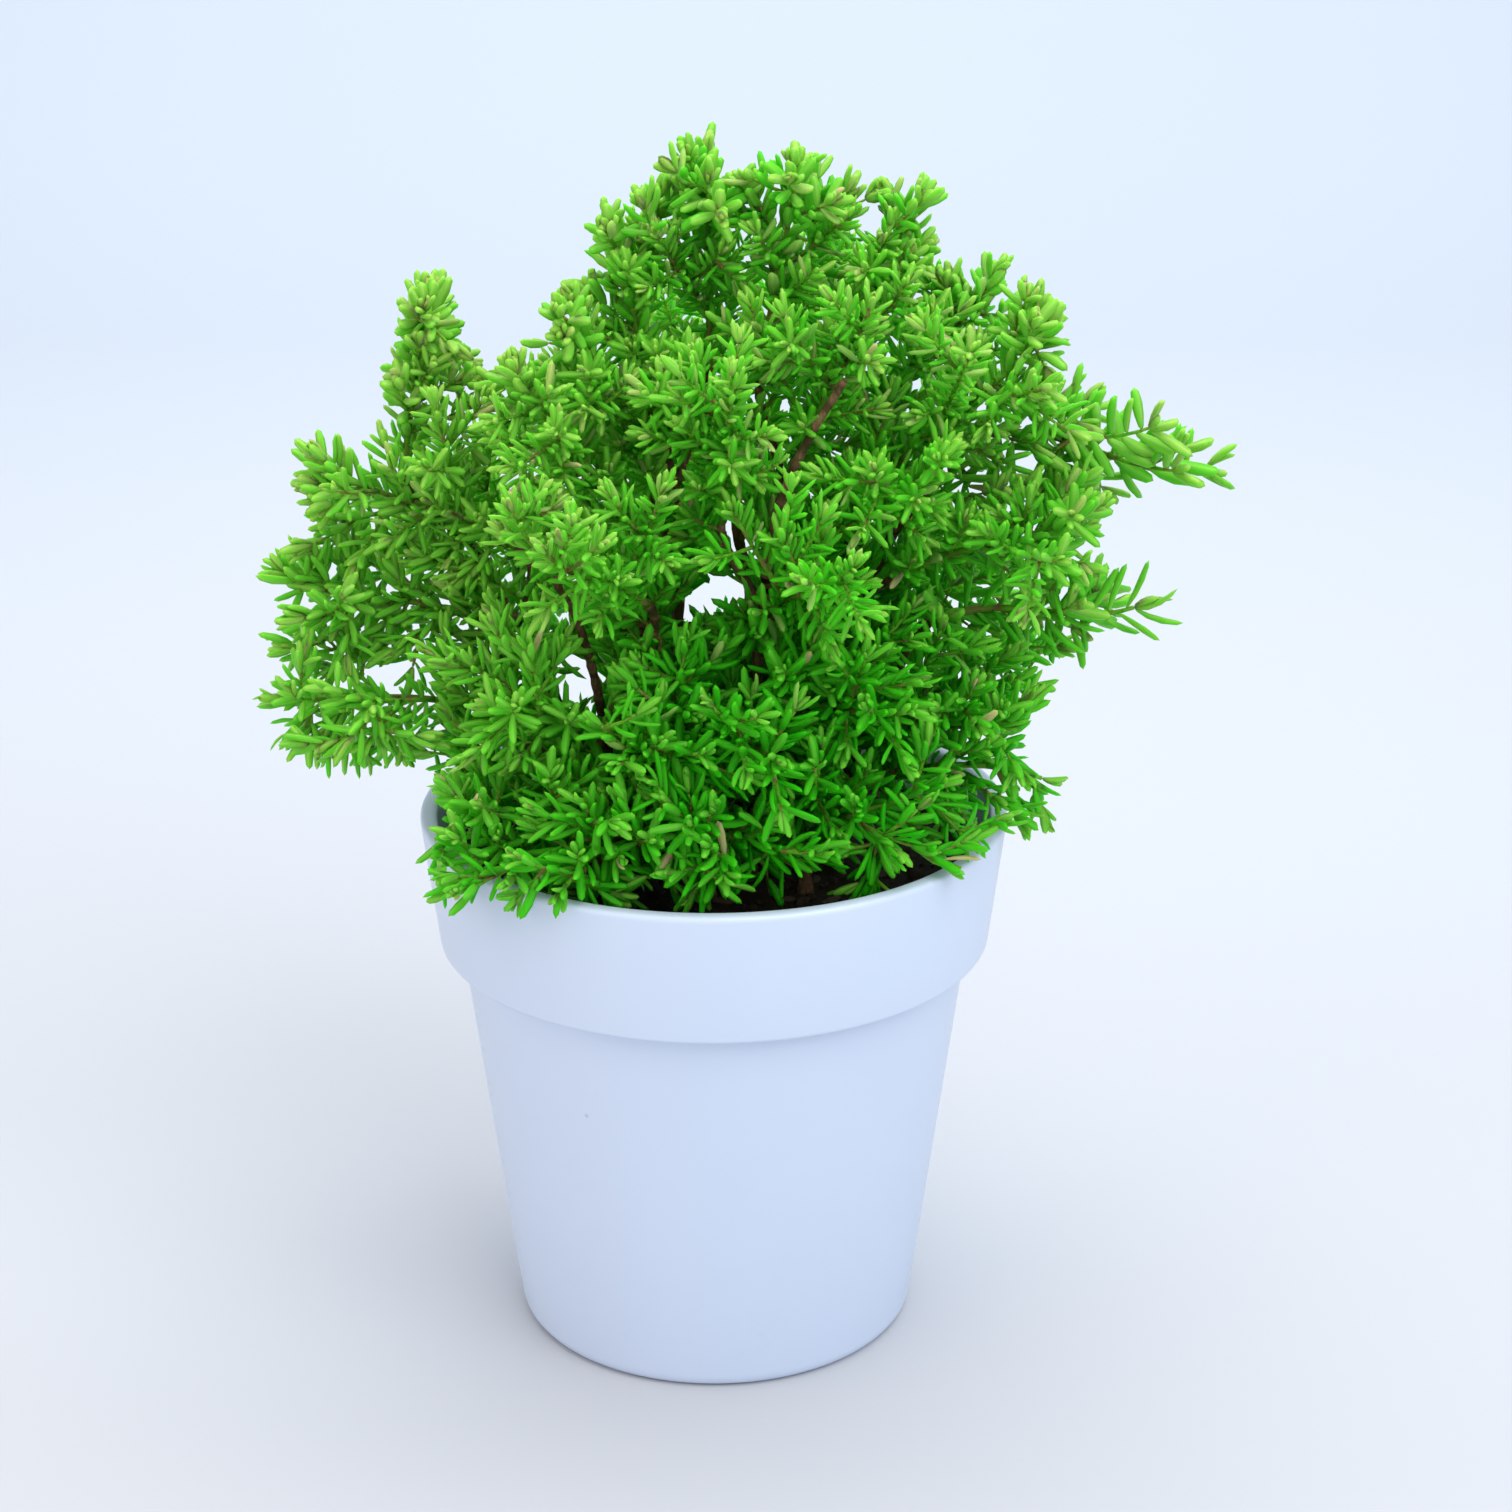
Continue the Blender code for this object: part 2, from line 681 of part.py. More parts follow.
def make_plant(parts, work):
    trunks, twigs, sprays = plant_lines()
    crowd = Crowd()
    for name, trunk in trunks.items():
        crowd.add(name, finely(trunk), STEM_RADIUS)
    for name, (stem, twig) in twigs.items():
        crowd.add(stem, finely(twig), TWIG_RADIUS)
    for name, lines in sprays.items():
        for line in lines:
            crowd.add(name, finely(line)[1:], SPRAY_RADIUS)
    wood = material("wood")
    for name, trunk in trunks.items():
        own = [twig for stem, twig in twigs.values() if stem == name]
        make_stem(name, trunk, own, parts, work, wood)
    green = material("leaf")
    for i, (name, lines) in enumerate(sprays.items()):
        twig = twigs[name][1]
        leaving = (twig[-1] - twig[-2]).normalized()
        rng = random.Random(100 + i)
        make_spray(name, lines, leaving, rng, crowd, parts, work, green)


def main():
    for obj in list(bpy.data.objects):
        bpy.data.objects.remove(obj, do_unlink=True)
    scene = bpy.context.scene.collection
    parts = bpy.data.collections.new("potted_needle_stonecrop")
    cutters = bpy.data.collections.new("cutters")
    work = bpy.data.collections.new("work")
    for collection in (parts, cutters, work):
        scene.children.link(collection)
    cutters.hide_render = True
    make_plant(parts, work)
    make_pot(parts, cutters)
    make_soil(parts, cutters)
    bpy.data.collections.remove(work)
    for obj in parts.objects:
        obj.data.shade_smooth()
        obj.data.set_sharp_from_angle(angle=math.radians(35))


main()
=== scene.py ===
import math
import random

import bmesh
import bpy
from mathutils import Matrix, Quaternion, Vector, geometry, kdtree, noise


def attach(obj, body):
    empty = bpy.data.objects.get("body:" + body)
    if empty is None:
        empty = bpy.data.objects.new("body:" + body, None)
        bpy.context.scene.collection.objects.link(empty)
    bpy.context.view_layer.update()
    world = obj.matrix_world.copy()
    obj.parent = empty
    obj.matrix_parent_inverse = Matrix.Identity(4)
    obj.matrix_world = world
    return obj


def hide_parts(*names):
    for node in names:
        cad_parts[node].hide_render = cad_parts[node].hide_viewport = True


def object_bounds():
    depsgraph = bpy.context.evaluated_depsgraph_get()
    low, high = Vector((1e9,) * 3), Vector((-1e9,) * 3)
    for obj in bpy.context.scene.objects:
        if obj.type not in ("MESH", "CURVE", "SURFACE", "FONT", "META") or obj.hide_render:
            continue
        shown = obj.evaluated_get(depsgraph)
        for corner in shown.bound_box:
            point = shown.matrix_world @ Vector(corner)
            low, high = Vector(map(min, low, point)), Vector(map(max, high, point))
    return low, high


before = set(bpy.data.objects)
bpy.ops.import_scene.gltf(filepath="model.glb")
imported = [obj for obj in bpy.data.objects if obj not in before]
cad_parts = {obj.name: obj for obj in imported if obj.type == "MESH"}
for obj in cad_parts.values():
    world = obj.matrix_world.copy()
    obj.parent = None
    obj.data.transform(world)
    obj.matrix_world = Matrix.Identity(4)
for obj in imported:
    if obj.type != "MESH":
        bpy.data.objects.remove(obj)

cadBox = [list(corner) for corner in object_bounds()]
mm = 0.001
weld = 0.02 * mm
up = Vector((0.0, 0.0, 1.0))
goldenAngle = math.radians(137.508)
noise.seed_set(16)  # the same sway as in the modelled part, and the same picture each time


# Small helpers

def inMetres(values):
    return Vector(values) * mm


def between(value, low, high):
    return max(low, min(high, value))


def mix(first, second, share):
    return first + (second - first) * share


def rise(value, start, end):
    # from 0 at the start to 1 at the end
    return between((value - start) / (end - start), 0.0, 1.0)


def nearest(place, taken):
    return min((place - other).length for other in taken)


def eitherWay(rng, most):
    return rng.uniform(-most, most)


def meshFrom(bm, name):
    mesh = bpy.data.meshes.new(name)
    bm.to_mesh(mesh)
    bm.free()
    return mesh


def added(name, data):
    # a new object in the scene
    made = bpy.data.objects.new(name, data)
    bpy.context.scene.collection.objects.link(made)
    return made


def pieceFrom(bm, name, paint, slotName, *nodes):
    # the finished mesh, riding on the one body, standing for its nodes
    mesh = meshFrom(bm, name)
    mesh.materials.append(paint)
    mesh.shade_smooth()
    piece = added(name, mesh)
    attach(piece, "root")
    if nodes:
        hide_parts(*nodes)
    return piece


def framesAlong(line):
    # a turn for each point of a line, without any twist between them
    steps = [(b - a).normalized() for a, b in zip(line, line[1:])]
    ways = [steps[0]] + [(a + b).normalized() for a, b in zip(steps, steps[1:])] + [steps[-1]]
    turns = [up.rotation_difference(ways[0])]
    for before, after in zip(ways, ways[1:]):
        turns.append(before.rotation_difference(after) @ turns[-1])
    return turns


def growTube(bm, line, radii, sides):
    # a ring at the first point, whose cap is drawn out along the line; returns all its points
    places = [
        Matrix.LocRotScale(point, turn, Vector((radius, radius, radius)))
        for point, turn, radius in zip(line, framesAlong(line), radii)
    ]
    ring = bmesh.ops.create_circle(bm, cap_ends=True, segments=sides, radius=1.0, matrix=places[0])
    grown = list(ring["verts"])
    cap = grown[0].link_faces[0]
    for before, after in zip(places, places[1:]):
        made = bmesh.ops.extrude_face_region(bm, geom=[cap])["geom"]
        verts = [part for part in made if isinstance(part, bmesh.types.BMVert)]
        cap = next(part for part in made if isinstance(part, bmesh.types.BMFace))
        bmesh.ops.transform(bm, matrix=after @ before.inverted(), verts=verts)
        grown += verts
    return grown


# Shader maths as plain sums

class Wire:
    def __init__(self, paint, socket):
        self.paint = paint
        self.socket = socket

    def sum(self, operation, first, second):
        return self.paint.node("ShaderNodeMath", {"operation": operation}, {0: first, 1: second})


for word, kind in (("add", "ADD"), ("sub", "SUBTRACT"), ("mul", "MULTIPLY"), ("pow", "POWER")):
    setattr(Wire, f"__{word}__", lambda self, other, kind=kind: self.sum(kind, self, other))
    setattr(Wire, f"__r{word}__", lambda self, other, kind=kind: self.sum(kind, other, self))


class Paint:
    def __init__(self, name, body, fixed):
        self.body = body
        self.material = bpy.data.materials.new(name)
        self.material.use_nodes = True
        self.tree = self.material.node_tree
        self.shader = self.tree.nodes["Principled BSDF"]
        for key, value in fixed.items():
            self.plug(self.shader.inputs[key], value)
        self.place = self.node("ShaderNodeTexCoord", output="Object")

    def plug(self, socket, value):
        if isinstance(value, Wire):
            self.tree.links.new(value.socket, socket)
        else:
            socket.default_value = value

    def node(self, kind, settings=None, sockets=None, output=0):
        made = self.tree.nodes.new(kind)
        for key, value in (settings or {}).items():
            setattr(made, key, value)
        for key, value in (sockets or {}).items():
            self.plug(made.inputs[key], value)
        return Wire(self, made.outputs[output])

    def noise(self, scale, detail=2.0, roughness=0.5, vector=None):
        sockets = {"Vector": vector or self.place, "Scale": scale, "Detail": detail, "Roughness": roughness}
        return self.node("ShaderNodeTexNoise", {}, sockets)

    def blend(self, factor, first, second):
        sockets = {0: factor, 6: colour(first), 7: colour(second)}
        return self.node("ShaderNodeMix", {"data_type": "RGBA"}, sockets, 2)

    def axis(self, name):
        return self.node("ShaderNodeSeparateXYZ", {}, {"Vector": self.place}, name)

    def fade(self, value, start, end):
        # from 0 at the start to 1 at the end
        return self.node("ShaderNodeMapRange", {}, {"Value": value, "From Min": start, "From Max": end})

    def attribute(self, name):
        return self.node("ShaderNodeAttribute", {"attribute_name": name}, output="Fac")

    def cover(self, factor, coat):
        # lays a colour over what is there
        self.body = self.blend(factor, self.body, coat)

    def finish(self, roughness, height, depth, strength):
        sockets = {"Height": height, "Distance": depth, "Strength": strength}
        bump = self.node("ShaderNodeBump", {}, sockets, "Normal")
        for key, value in (("Base Color", self.body), ("Roughness", roughness), ("Normal", bump)):
            self.plug(self.shader.inputs[key], value)
        return self.material


def colour(value):
    return value if isinstance(value, Wire) else (*value, 1.0)


# The pot

pot = dict(
    height=0.122, rimRadius=0.065, rimWidth=0.0039, bandFootZ=0.092, bandFootRadius=0.0613,
    bodyTopRadius=0.0568, baseRadius=0.0449, wall=0.0028, floor=0.003,
    baseRounding=0.0032, edgeRounding=0.0014, footRounding=0.0009, tuckRounding=0.0006, sharpFrom=40,
    sides=144, drainHoles=4, drainRing=0.026, drainRadius=0.003, drainSides=24,
    white=(0.66, 0.76, 0.93), shade=(0.60, 0.69, 0.86),
    dust=(0.50, 0.50, 0.50), dustHeight=0.03, dustAmount=0.30, grainDepth=0.00002,
    speck=(0.20, 0.22, 0.26), speckPlace=(-0.0269, -0.0465, 0.0682), speckRadius=0.0006, speckAmount=0.35,
)


def rounded(corners, steps=4):
    # the corners (radius, height, rounding) of a profile, each rounded by a soft arc
    points = []
    for i, (radius, height, rounding) in enumerate(corners):
        here = Vector((radius, 0.0, height))
        if not rounding:
            points.append(here)
            continue
        before = Vector((corners[i - 1][0], 0.0, corners[i - 1][1]))
        after = Vector((corners[i + 1][0], 0.0, corners[i + 1][1]))
        first = here + (before - here).normalized() * rounding
        last = here + (after - here).normalized() * rounding
        for step in range(steps + 1):
            t = step / steps
            points.append(first * (1 - t) ** 2 + here * 2 * t * (1 - t) + last * t**2)
    return points


def spun(bm, points, sides):
    verts = [bm.verts.new(point) for point in points]
    edges = [bm.edges.new(pair) for pair in zip(verts, verts[1:])]
    bmesh.ops.spin(
        bm, geom=verts + edges, cent=(0, 0, 0), axis=up, angle=math.tau, steps=sides, use_merge=True
    )
    bmesh.ops.remove_doubles(bm, verts=bm.verts, dist=weld)
    bmesh.ops.recalc_face_normals(bm, faces=bm.faces)


def makePot():
    wall, floor, band, edge = [pot[key] for key in ("wall", "floor", "bandFootZ", "edgeRounding")]
    corners = [
        (0.0, floor, 0),
        (pot["baseRadius"] - wall, floor, pot["baseRounding"] / 2),
        (pot["bodyTopRadius"] - wall, band, edge),
        (pot["bandFootRadius"] - wall, band + wall, edge),
        (pot["rimRadius"] - pot["rimWidth"], pot["height"], edge),
        (pot["rimRadius"], pot["height"], edge),
        (pot["bandFootRadius"], band, pot["footRounding"]),
        (pot["bodyTopRadius"], band, pot["tuckRounding"]),
        (pot["baseRadius"], 0.0, pot["baseRounding"]),
        (0.0, 0.0, 0),
    ]
    bm = bmesh.new()
    spun(bm, rounded(corners), pot["sides"])
    shell = pieceFrom(bm, "flowerPot", potPaint(), "pot", "pot")
    bm = bmesh.new()
    for i in range(pot["drainHoles"]):
        angle = math.tau * (i + 0.5) / pot["drainHoles"]
        place = Vector((math.cos(angle), math.sin(angle), 0.0)) * pot["drainRing"]
        bmesh.ops.create_cone(
            bm, cap_ends=True, segments=pot["drainSides"], radius1=pot["drainRadius"],
            radius2=pot["drainRadius"], depth=4 * floor, matrix=Matrix.Translation(place),
        )
    drills = added("drills", meshFrom(bm, "drills"))
    cut = shell.modifiers.new("drainHoles", "BOOLEAN")
    cut.object = drills
    graph = bpy.context.evaluated_depsgraph_get()
    shell.data = bpy.data.meshes.new_from_object(shell.evaluated_get(graph))
    shell.modifiers.clear()
    bpy.data.objects.remove(drills)
    shell.data.name = "flowerPot"
    shell.data.set_sharp_from_angle(angle=math.radians(pot["sharpFrom"]))
    print("pot", len(shell.data.polygons), "faces")


def potPaint():
    paint = Paint("satinPotPlastic", pot["white"], {"Specular IOR Level": 0.5})
    cloudy = paint.noise(14.0, 3.0)  # broad unevenness of the moulding
    grain = paint.noise(2600.0, 2.0)  # fine grain of the mould
    dusty = paint.fade(paint.noise(55.0, 6.0, 0.62), 0.60, 0.78)
    low = paint.fade(paint.axis("Z"), pot["dustHeight"], 0.0)
    paint.cover(cloudy, pot["shade"])
    paint.cover(dusty * low * pot["dustAmount"], pot["dust"])
    ends = {0: paint.place, 1: pot["speckPlace"]}
    away = paint.node("ShaderNodeVectorMath", {"operation": "DISTANCE"}, ends, "Value")
    speck = paint.fade(away, pot["speckRadius"], pot["speckRadius"] * 0.4)
    paint.cover(speck * pot["speckAmount"], pot["speck"])
    return paint.finish(0.30 + cloudy * 0.10 + dusty * 0.12, grain + cloudy * 4.0, pot["grainDepth"], 0.5)


# Soil

soil = dict(
    top=0.109, lumps=0.0016, lumpsAMetre=70.0, fineLumps=2.3, fineShare=0.5,
    crumbsAMetre=420.0, crumbHeight=0.0011, crumbLevel=0.55, crumbDeepest=1.1, clumpDepth=0.0006,
    gap=0.0003, levelEdge=0.003, footInset=0.001, footRise=0.0012, rings=46, sides=128,
    dark=(0.009, 0.007, 0.004), brown=(0.034, 0.023, 0.013), fibre=(0.11, 0.08, 0.05),
)


def soilHeight(x, y):
    broad = noise.noise(Vector((x, y, 0.0)) * soil["lumpsAMetre"])
    fine = noise.noise(Vector((x, y, 0.3)) * soil["lumpsAMetre"] * soil["fineLumps"])
    return soil["top"] + soil["lumps"] * (broad + soil["fineShare"] * fine)


def crumbly(place):
    # small cellular lumps on top of the soil's broad ones
    distances, _ = noise.voronoi(place * soil["crumbsAMetre"])
    return soil["crumbHeight"] * (soil["crumbLevel"] - min(distances[0], soil["crumbDeepest"]))


def boreRadius(height, gap):
    # the pot's inside, drawn in by a gap
    band = pot["bandFootZ"] + pot["wall"]
    share = (height - band) / (pot["height"] - band)
    foot = pot["bandFootRadius"] - pot["wall"]
    return foot + (pot["rimRadius"] - pot["rimWidth"] - foot) * share - gap


def makeSoil(paint):
    edge = boreRadius(soil["top"], soil["gap"])
    gap = soil["gap"] + pot["wall"]
    foot = pot["floor"] + soil["footRise"]
    rings = soil["rings"]
    profile = [(edge * i / rings, soil["top"]) for i in range(rings + 1)]
    profile += [
        (pot["bandFootRadius"] - gap, pot["bandFootZ"] + gap),
        (pot["bodyTopRadius"] - gap, pot["bandFootZ"]),
        (pot["baseRadius"] - gap - soil["footInset"], foot),
        (0.0, foot),
    ]
    bm = bmesh.new()
    spun(bm, [Vector((radius, 0.0, height)) for radius, height in profile], soil["sides"])
    for vert in bm.verts:
        if vert.co.z > soil["top"] - weld:
            inner = rise(vert.co.xy.length, edge, edge - soil["levelEdge"])
            vert.co.z = soilHeight(vert.co.x, vert.co.y) + crumbly(vert.co) * inner
    pieceFrom(bm, "pottingSoil", paint, "soil", "soil")
    print("soil")


# loose crumbs of peat and a few bark chips lying on the soil
crumb = dict(
    seed=7, count=720, smallest=0.0005, largest=0.0019, edge=0.003, raised=0.35, lean=0.4, fineFrom=0.0009,
    broad=(0.7, 1.0), flat=(0.6, 0.9), chipShare=0.12, chip=(1.9, 0.8, 0.4),
    chipTone=(0.7, 1.0), peatTone=(0.0, 0.45), bumps=1.3, bumpHeight=0.28,
)


def makeCrumbs(paint):
    rng = random.Random(crumb["seed"])
    bm = bmesh.new()
    tone = bm.verts.layers.float.new("crumbTone")
    reach = boreRadius(soil["top"], crumb["edge"])
    for _ in range(crumb["count"]):
        away = reach * math.sqrt(rng.random())
        turn = rng.uniform(0.0, math.tau)
        size = mix(crumb["smallest"], crumb["largest"], rng.random() ** 3)
        x, y = away * math.cos(turn), away * math.sin(turn)
        chip = rng.random() < crumb["chipShare"]
        shape = crumb["chip"] if chip else (1.0, rng.uniform(*crumb["broad"]), rng.uniform(*crumb["flat"]))
        shape = Vector(shape)
        spin = Quaternion(up, rng.uniform(0.0, math.tau))
        lean = Quaternion((1, 0, 0), eitherWay(rng, crumb["lean"]))
        place = Vector((x, y, soilHeight(x, y) + size * shape.z * crumb["raised"]))
        made = bmesh.ops.create_icosphere(
            bm, subdivisions=2 if size > crumb["fineFrom"] else 1, radius=1.0,
            matrix=Matrix.LocRotScale(place, spin @ lean, shape * size),
        )
        shade = rng.uniform(*crumb["chipTone" if chip else "peatTone"])
        for vert in made["verts"]:
            vert[tone] = shade
            vert.co += noise.noise_vector(vert.co / size * crumb["bumps"]) * size * crumb["bumpHeight"]
    pieceFrom(bm, "soilCrumbs", paint, "soil")
    print("crumbs")


def soilPaint():
    paint = Paint("pottingSoil", soil["dark"], {"Specular IOR Level": 0.25})
    clumps = paint.noise(380.0, 5.0, 0.62)
    grains = paint.noise(2400.0, 3.0, 0.6)
    fibres = paint.fade(paint.noise(900.0, 4.0, 0.7), 0.64, 0.72)
    paint.cover(clumps, soil["brown"])
    paint.cover(paint.attribute("crumbTone") * 0.8, soil["fibre"])
    paint.cover(fibres * 0.4, soil["fibre"])
    return paint.finish(0.86 + grains * 0.12, grains * 0.5 + clumps, soil["clumpDepth"], 0.8)


# The plant's lines: where each stem stands and which side of the crown it feeds, and the tips
# and feet of the sprays, in millimetres

stems = dict(
    middle_right=((5, 0), (22, -8, 262)), middle_left=((-7, 5), (-16, -6, 258)),
    upper_left=((-25, 9), (-72, 0, 215)), lower_left=((-24, -3), (-86, -8, 152)),
    front_left=((-17, -18), (-42, -46, 130)), front=((-1, -23), (6, -62, 132)),
    front_right=((20, -21), (46, -42, 134)), right=((27, -3), (80, -4, 152)),
    upper_right=((14, 8), (86, -8, 208)), high_front_left=((-10, -8), (-32, -58, 198)),
    high_front_right=((8, -11), (34, -56, 196)), back_right=((23, 24), (48, 58, 180)),
    back=((10, 19), (0, 62, 222)), back_left=((-17, 23), (-48, 58, 176)),
)

sprayTips = dict(
    top=(-1, 8, 266), top_left=(-21, -6, 255), top_middle=(18, -8, 266), top_right=(44, 4, 257),
    shoulder_right=(61, 12, 240), shoulder_front=(71, -14, 234), long_right=(108, 0, 199),
    middle_right=(93, -8, 171), front_right=(80, -26, 198), low_right=(74, 12, 146),
    low_right_front=(67, -22, 147), rim_right=(74, -14, 132), column_left=(-60, 4, 237),
    high_left=(-29, -14, 239), front_left=(-40, -28, 228), apron_left=(-47, -42, 160),
    apron_middle_left=(-19, -56, 152), apron_middle_right=(14, -60, 154), apron_right=(42, -46, 160),
    left=(-84, -4, 203), middle_left=(-95, 2, 176), low_left=(-96, -8, 149), rim_left=(-61, -34, 125),
    rim_left_front=(-53, -46, 122), rim_front_left=(-31, -59, 124), rim_front=(3, -60, 128),
    rim_front_right=(39, -51, 130),
)
sprayFeet = dict(
    long_right=(60, 0, 206), middle_right=(50, -8, 168), rim_right=(36, -10, 132),
    column_left=(-66, 4, 198), apron_left=(-25, -22, 145), low_left=(-48, -8, 146),
    rim_front=(4, -31, 127),
)

# gaps in the crown: from, to and radius, in millimetres
crownGaps = (
    ((2, -90, 199), (0, 90, 143), 5.5),
    ((-25, -90, 175), (-28, 90, 119), 3.5),
    ((-66, -60, 169), (-70, 60, 132), 4.5),
    ((60, -70, 220), (65, 70, 176), 4.0),
    ((19, -90, 225), (18, -18, 203), 6.0),
)

# the gaps that show among the leaves from the front: across, up and radius, in millimetres
leafGaps = (
    (-6, 167, 2.0), (-2, 169.5, 2.6), (2, 171.5, 2.6), (6, 171.5, 2.0), (6, 182, 2.4), (8.5, 180, 1.4),
    (5, 185, 1.2), (-31.5, 164, 0.5), (-29, 148.5, 1.7), (-27.5, 146, 1.2), (-26, 149, 0.9),
    (-29.5, 154.5, 0.7), (-25.5, 153, 0.6), (-75, 152.5, 1.5), (-70, 151.5, 2.0), (-61, 144.5, 0.9),
    (57.5, 196.5, 1.2), (67, 200, 1.4), (15, 212, 0.6), (-36, 246, 1.6), (32.5, 251.5, 1.5),
    (-31, 176, 1.3), (-17, 162.5, 0.6), (-17, 191, 0.4), (-8, 160.5, 0.4),
    # where the soil shows behind the front rim, then the right of the rim and its far side
    (-15, 99.5, 2.6), (8, 99, 2.4), (20, 100, 3.0), (26, 103, 3.0), (45, 106, 1.6), (60, 104, 3.6),
    (54, 99.5, 3.6), (47, 97, 2.4), (49, 132, 1.0), (54, 131, 1.4), (59, 129.5, 1.4),
)

# woody branches that show through the leaves, and how near them the leaves in front may come
bareBranches = dict(
    right=((11, -18, 172), (12, -22, 196), (20.5, -28, 213), (27, -32, 225)),
    left=((-23, -6, 136), (-25, -12, 156), (-28, -16, 168), (-33, -20, 180)),
)
bareRadius = 0.0011
bareTaper = (1.1, 0.4)  # the share of that radius it starts with, and what it loses
bareClear = 0.0014
bareCovered = 0.30  # the share of the leaves before a bare branch that stay

# the crown's outline as the front view shows it, in millimetres
viewpoint = Vector((0.0093, -0.6430, 0.3716))
outline = (
    (-62, 96), (-66, 104), (-62, 116), (-61, 133), (-77, 130), (-86, 130), (-99, 138), (-100, 147),
    (-96, 150), (-97, 159), (-93, 168), (-97, 176), (-90, 183), (-85, 182), (-91, 198), (-87, 204),
    (-80, 206), (-74, 201), (-70, 212), (-68, 222), (-64, 239), (-53, 240), (-54, 231), (-47, 218),
    (-43, 224), (-34, 227), (-37, 233), (-24, 242), (-26, 249), (-23, 254), (-11, 259), (-10, 266),
    (0, 271), (2, 260), (16, 268), (33, 259), (43, 262), (50, 253), (46, 242), (60, 244), (72, 237),
    (76, 216), (97, 216), (109, 207), (112, 199), (108, 192), (91, 199), (84, 184), (79, 180),
    (94, 175), (97, 162), (70, 154), (74, 148), (69, 140), (66, 133), (77, 126), (74, 115), (64, 114),
    (53, 96),
)

# where sprays go in the crown, and how its stems, twigs and shoots leave and end
crown = dict(
    seed=52, sprays=43, middle=Vector((-0.002, 0.004, 0.172)), reach=Vector((0.080, 0.078, 0.086)),
    fall=0.062, heights=(-0.6, 0.97), swell=(0.92, 1.03), tipTries=60, tipInset=0.005, footRoom=2.5,
    heartLowest=0.122, heartHighest=0.160, heartFoot=0.07, heartRise=0.45,
    sprayLength=0.047, shortAt=0.140, shortest=0.8, longerAMetre=5.0, pull=0.38,
    stemProbes=(0.2, 0.5, 0.8, 1.0), stemGapMargin=0.008,
    leavesUp=0.3, liftFrom=0.150, liftOver=0.050, lifts=(-0.7, 0.5), shootLift=0.12,
    trunkFoot=0.002, trunkLean=0.4, trunkReach=0.86, trunkPoints=33, twigLead=0.003,
    trunkSway=0.003, swaysAMetre=45.0, swayEnds=0.25,
)

# a twig starts where it has room, up to a limit, and is short and straight
twigChoice = dict(room=3.0, roomMost=0.004, length=0.2, turned=0.004)

# how a spray's side shoots are placed; their lengths are shares of the spray's
sideShoot = dict(
    each=2, tries=14, tilts=(38, 54), lengths=(0.58, 0.74), shorter=1.25,
    first=0.25, spread=0.42, stray=0.6, probes=(0.4, 0.6, 0.8, 1.0),
    margin=0.004, gapMargin=0.004, inset=0.002,
)


def curvePoints(start, leaving, end, arriving, count):
    pull = (end - start).length * crown["pull"]
    leaving, arriving = leaving.normalized() * pull, arriving.normalized() * pull
    return geometry.interpolate_bezier(start, start + leaving, end - arriving, end, count)


def finely(line, step=1.2 * mm):
    points = [line[0]]
    for start, end in zip(line, line[1:]):
        count = max(1, math.ceil((end - start).length / step))
        points += [start.lerp(end, (i + 1) / count) for i in range(count)]
    return points


def inGap(place, margin):
    for start, end, radius in crownGaps:
        axis, share = geometry.intersect_point_line(place, inMetres(start), inMetres(end))
        if 0 < share < 1 and (place - axis).length < radius * mm + margin:
            return True
    return False


def outlined(x, z):
    inside = False
    for (x0, z0), (x1, z1) in zip(outline, outline[1:] + outline[:1]):
        if (z0 > z) != (z1 > z) and x < x0 + (z - z0) * (x1 - x0) / (z1 - z0):
            inside = not inside
    return inside


def seenPlace(place):
    # where the front view shows a place, on the upright plane through the pot's middle
    return viewpoint + (place - viewpoint) * viewpoint.y / (viewpoint.y - place.y)


def inLeafGap(place, margin):
    seen = seenPlace(place) / mm
    return any(math.hypot(seen.x - x, seen.z - z) < radius + margin / mm for x, z, radius in leafGaps)


def inOutline(place, margin):
    seen = seenPlace(place)
    steps = ((-margin, 0), (margin, 0), (0, -margin), (0, margin))
    return all(outlined((seen.x + x) / mm, (seen.z + z) / mm) for x, z in steps)


def overPot(place, margin):
    # how far a place is above the rim or the soil, beyond a margin
    reach = math.hypot(place.x, place.y)
    if reach > pot["rimRadius"] + margin:
        return place.z
    onRim = reach > pot["rimRadius"] - pot["rimWidth"] - margin
    return place.z - (pot["height"] if onRim else soil["top"] + soil["lumps"]) - margin


def crownTip(rng):
    height = rng.uniform(*crown["heights"])
    turn = rng.uniform(0.0, math.tau)
    across = math.sqrt(1.0 - height * height)
    swell = rng.uniform(*crown["swell"])
    reach = crown["reach"]
    height *= reach.z if height > 0 else crown["fall"]
    offset = Vector((reach.x * across * math.cos(turn), reach.y * across * math.sin(turn), height))
    return crown["middle"] + offset * swell


def footOf(tip):
    heart = crown["heartFoot"] + crown["heartRise"] * tip.z
    heart = up * between(heart, crown["heartLowest"], crown["heartHighest"])
    longer = crown["longerAMetre"] * (tip.z - crown["shortAt"])
    shortened = between(crown["shortest"] + longer, crown["shortest"], 1.0)
    return tip + (heart - tip).normalized() * crown["sprayLength"] * shortened


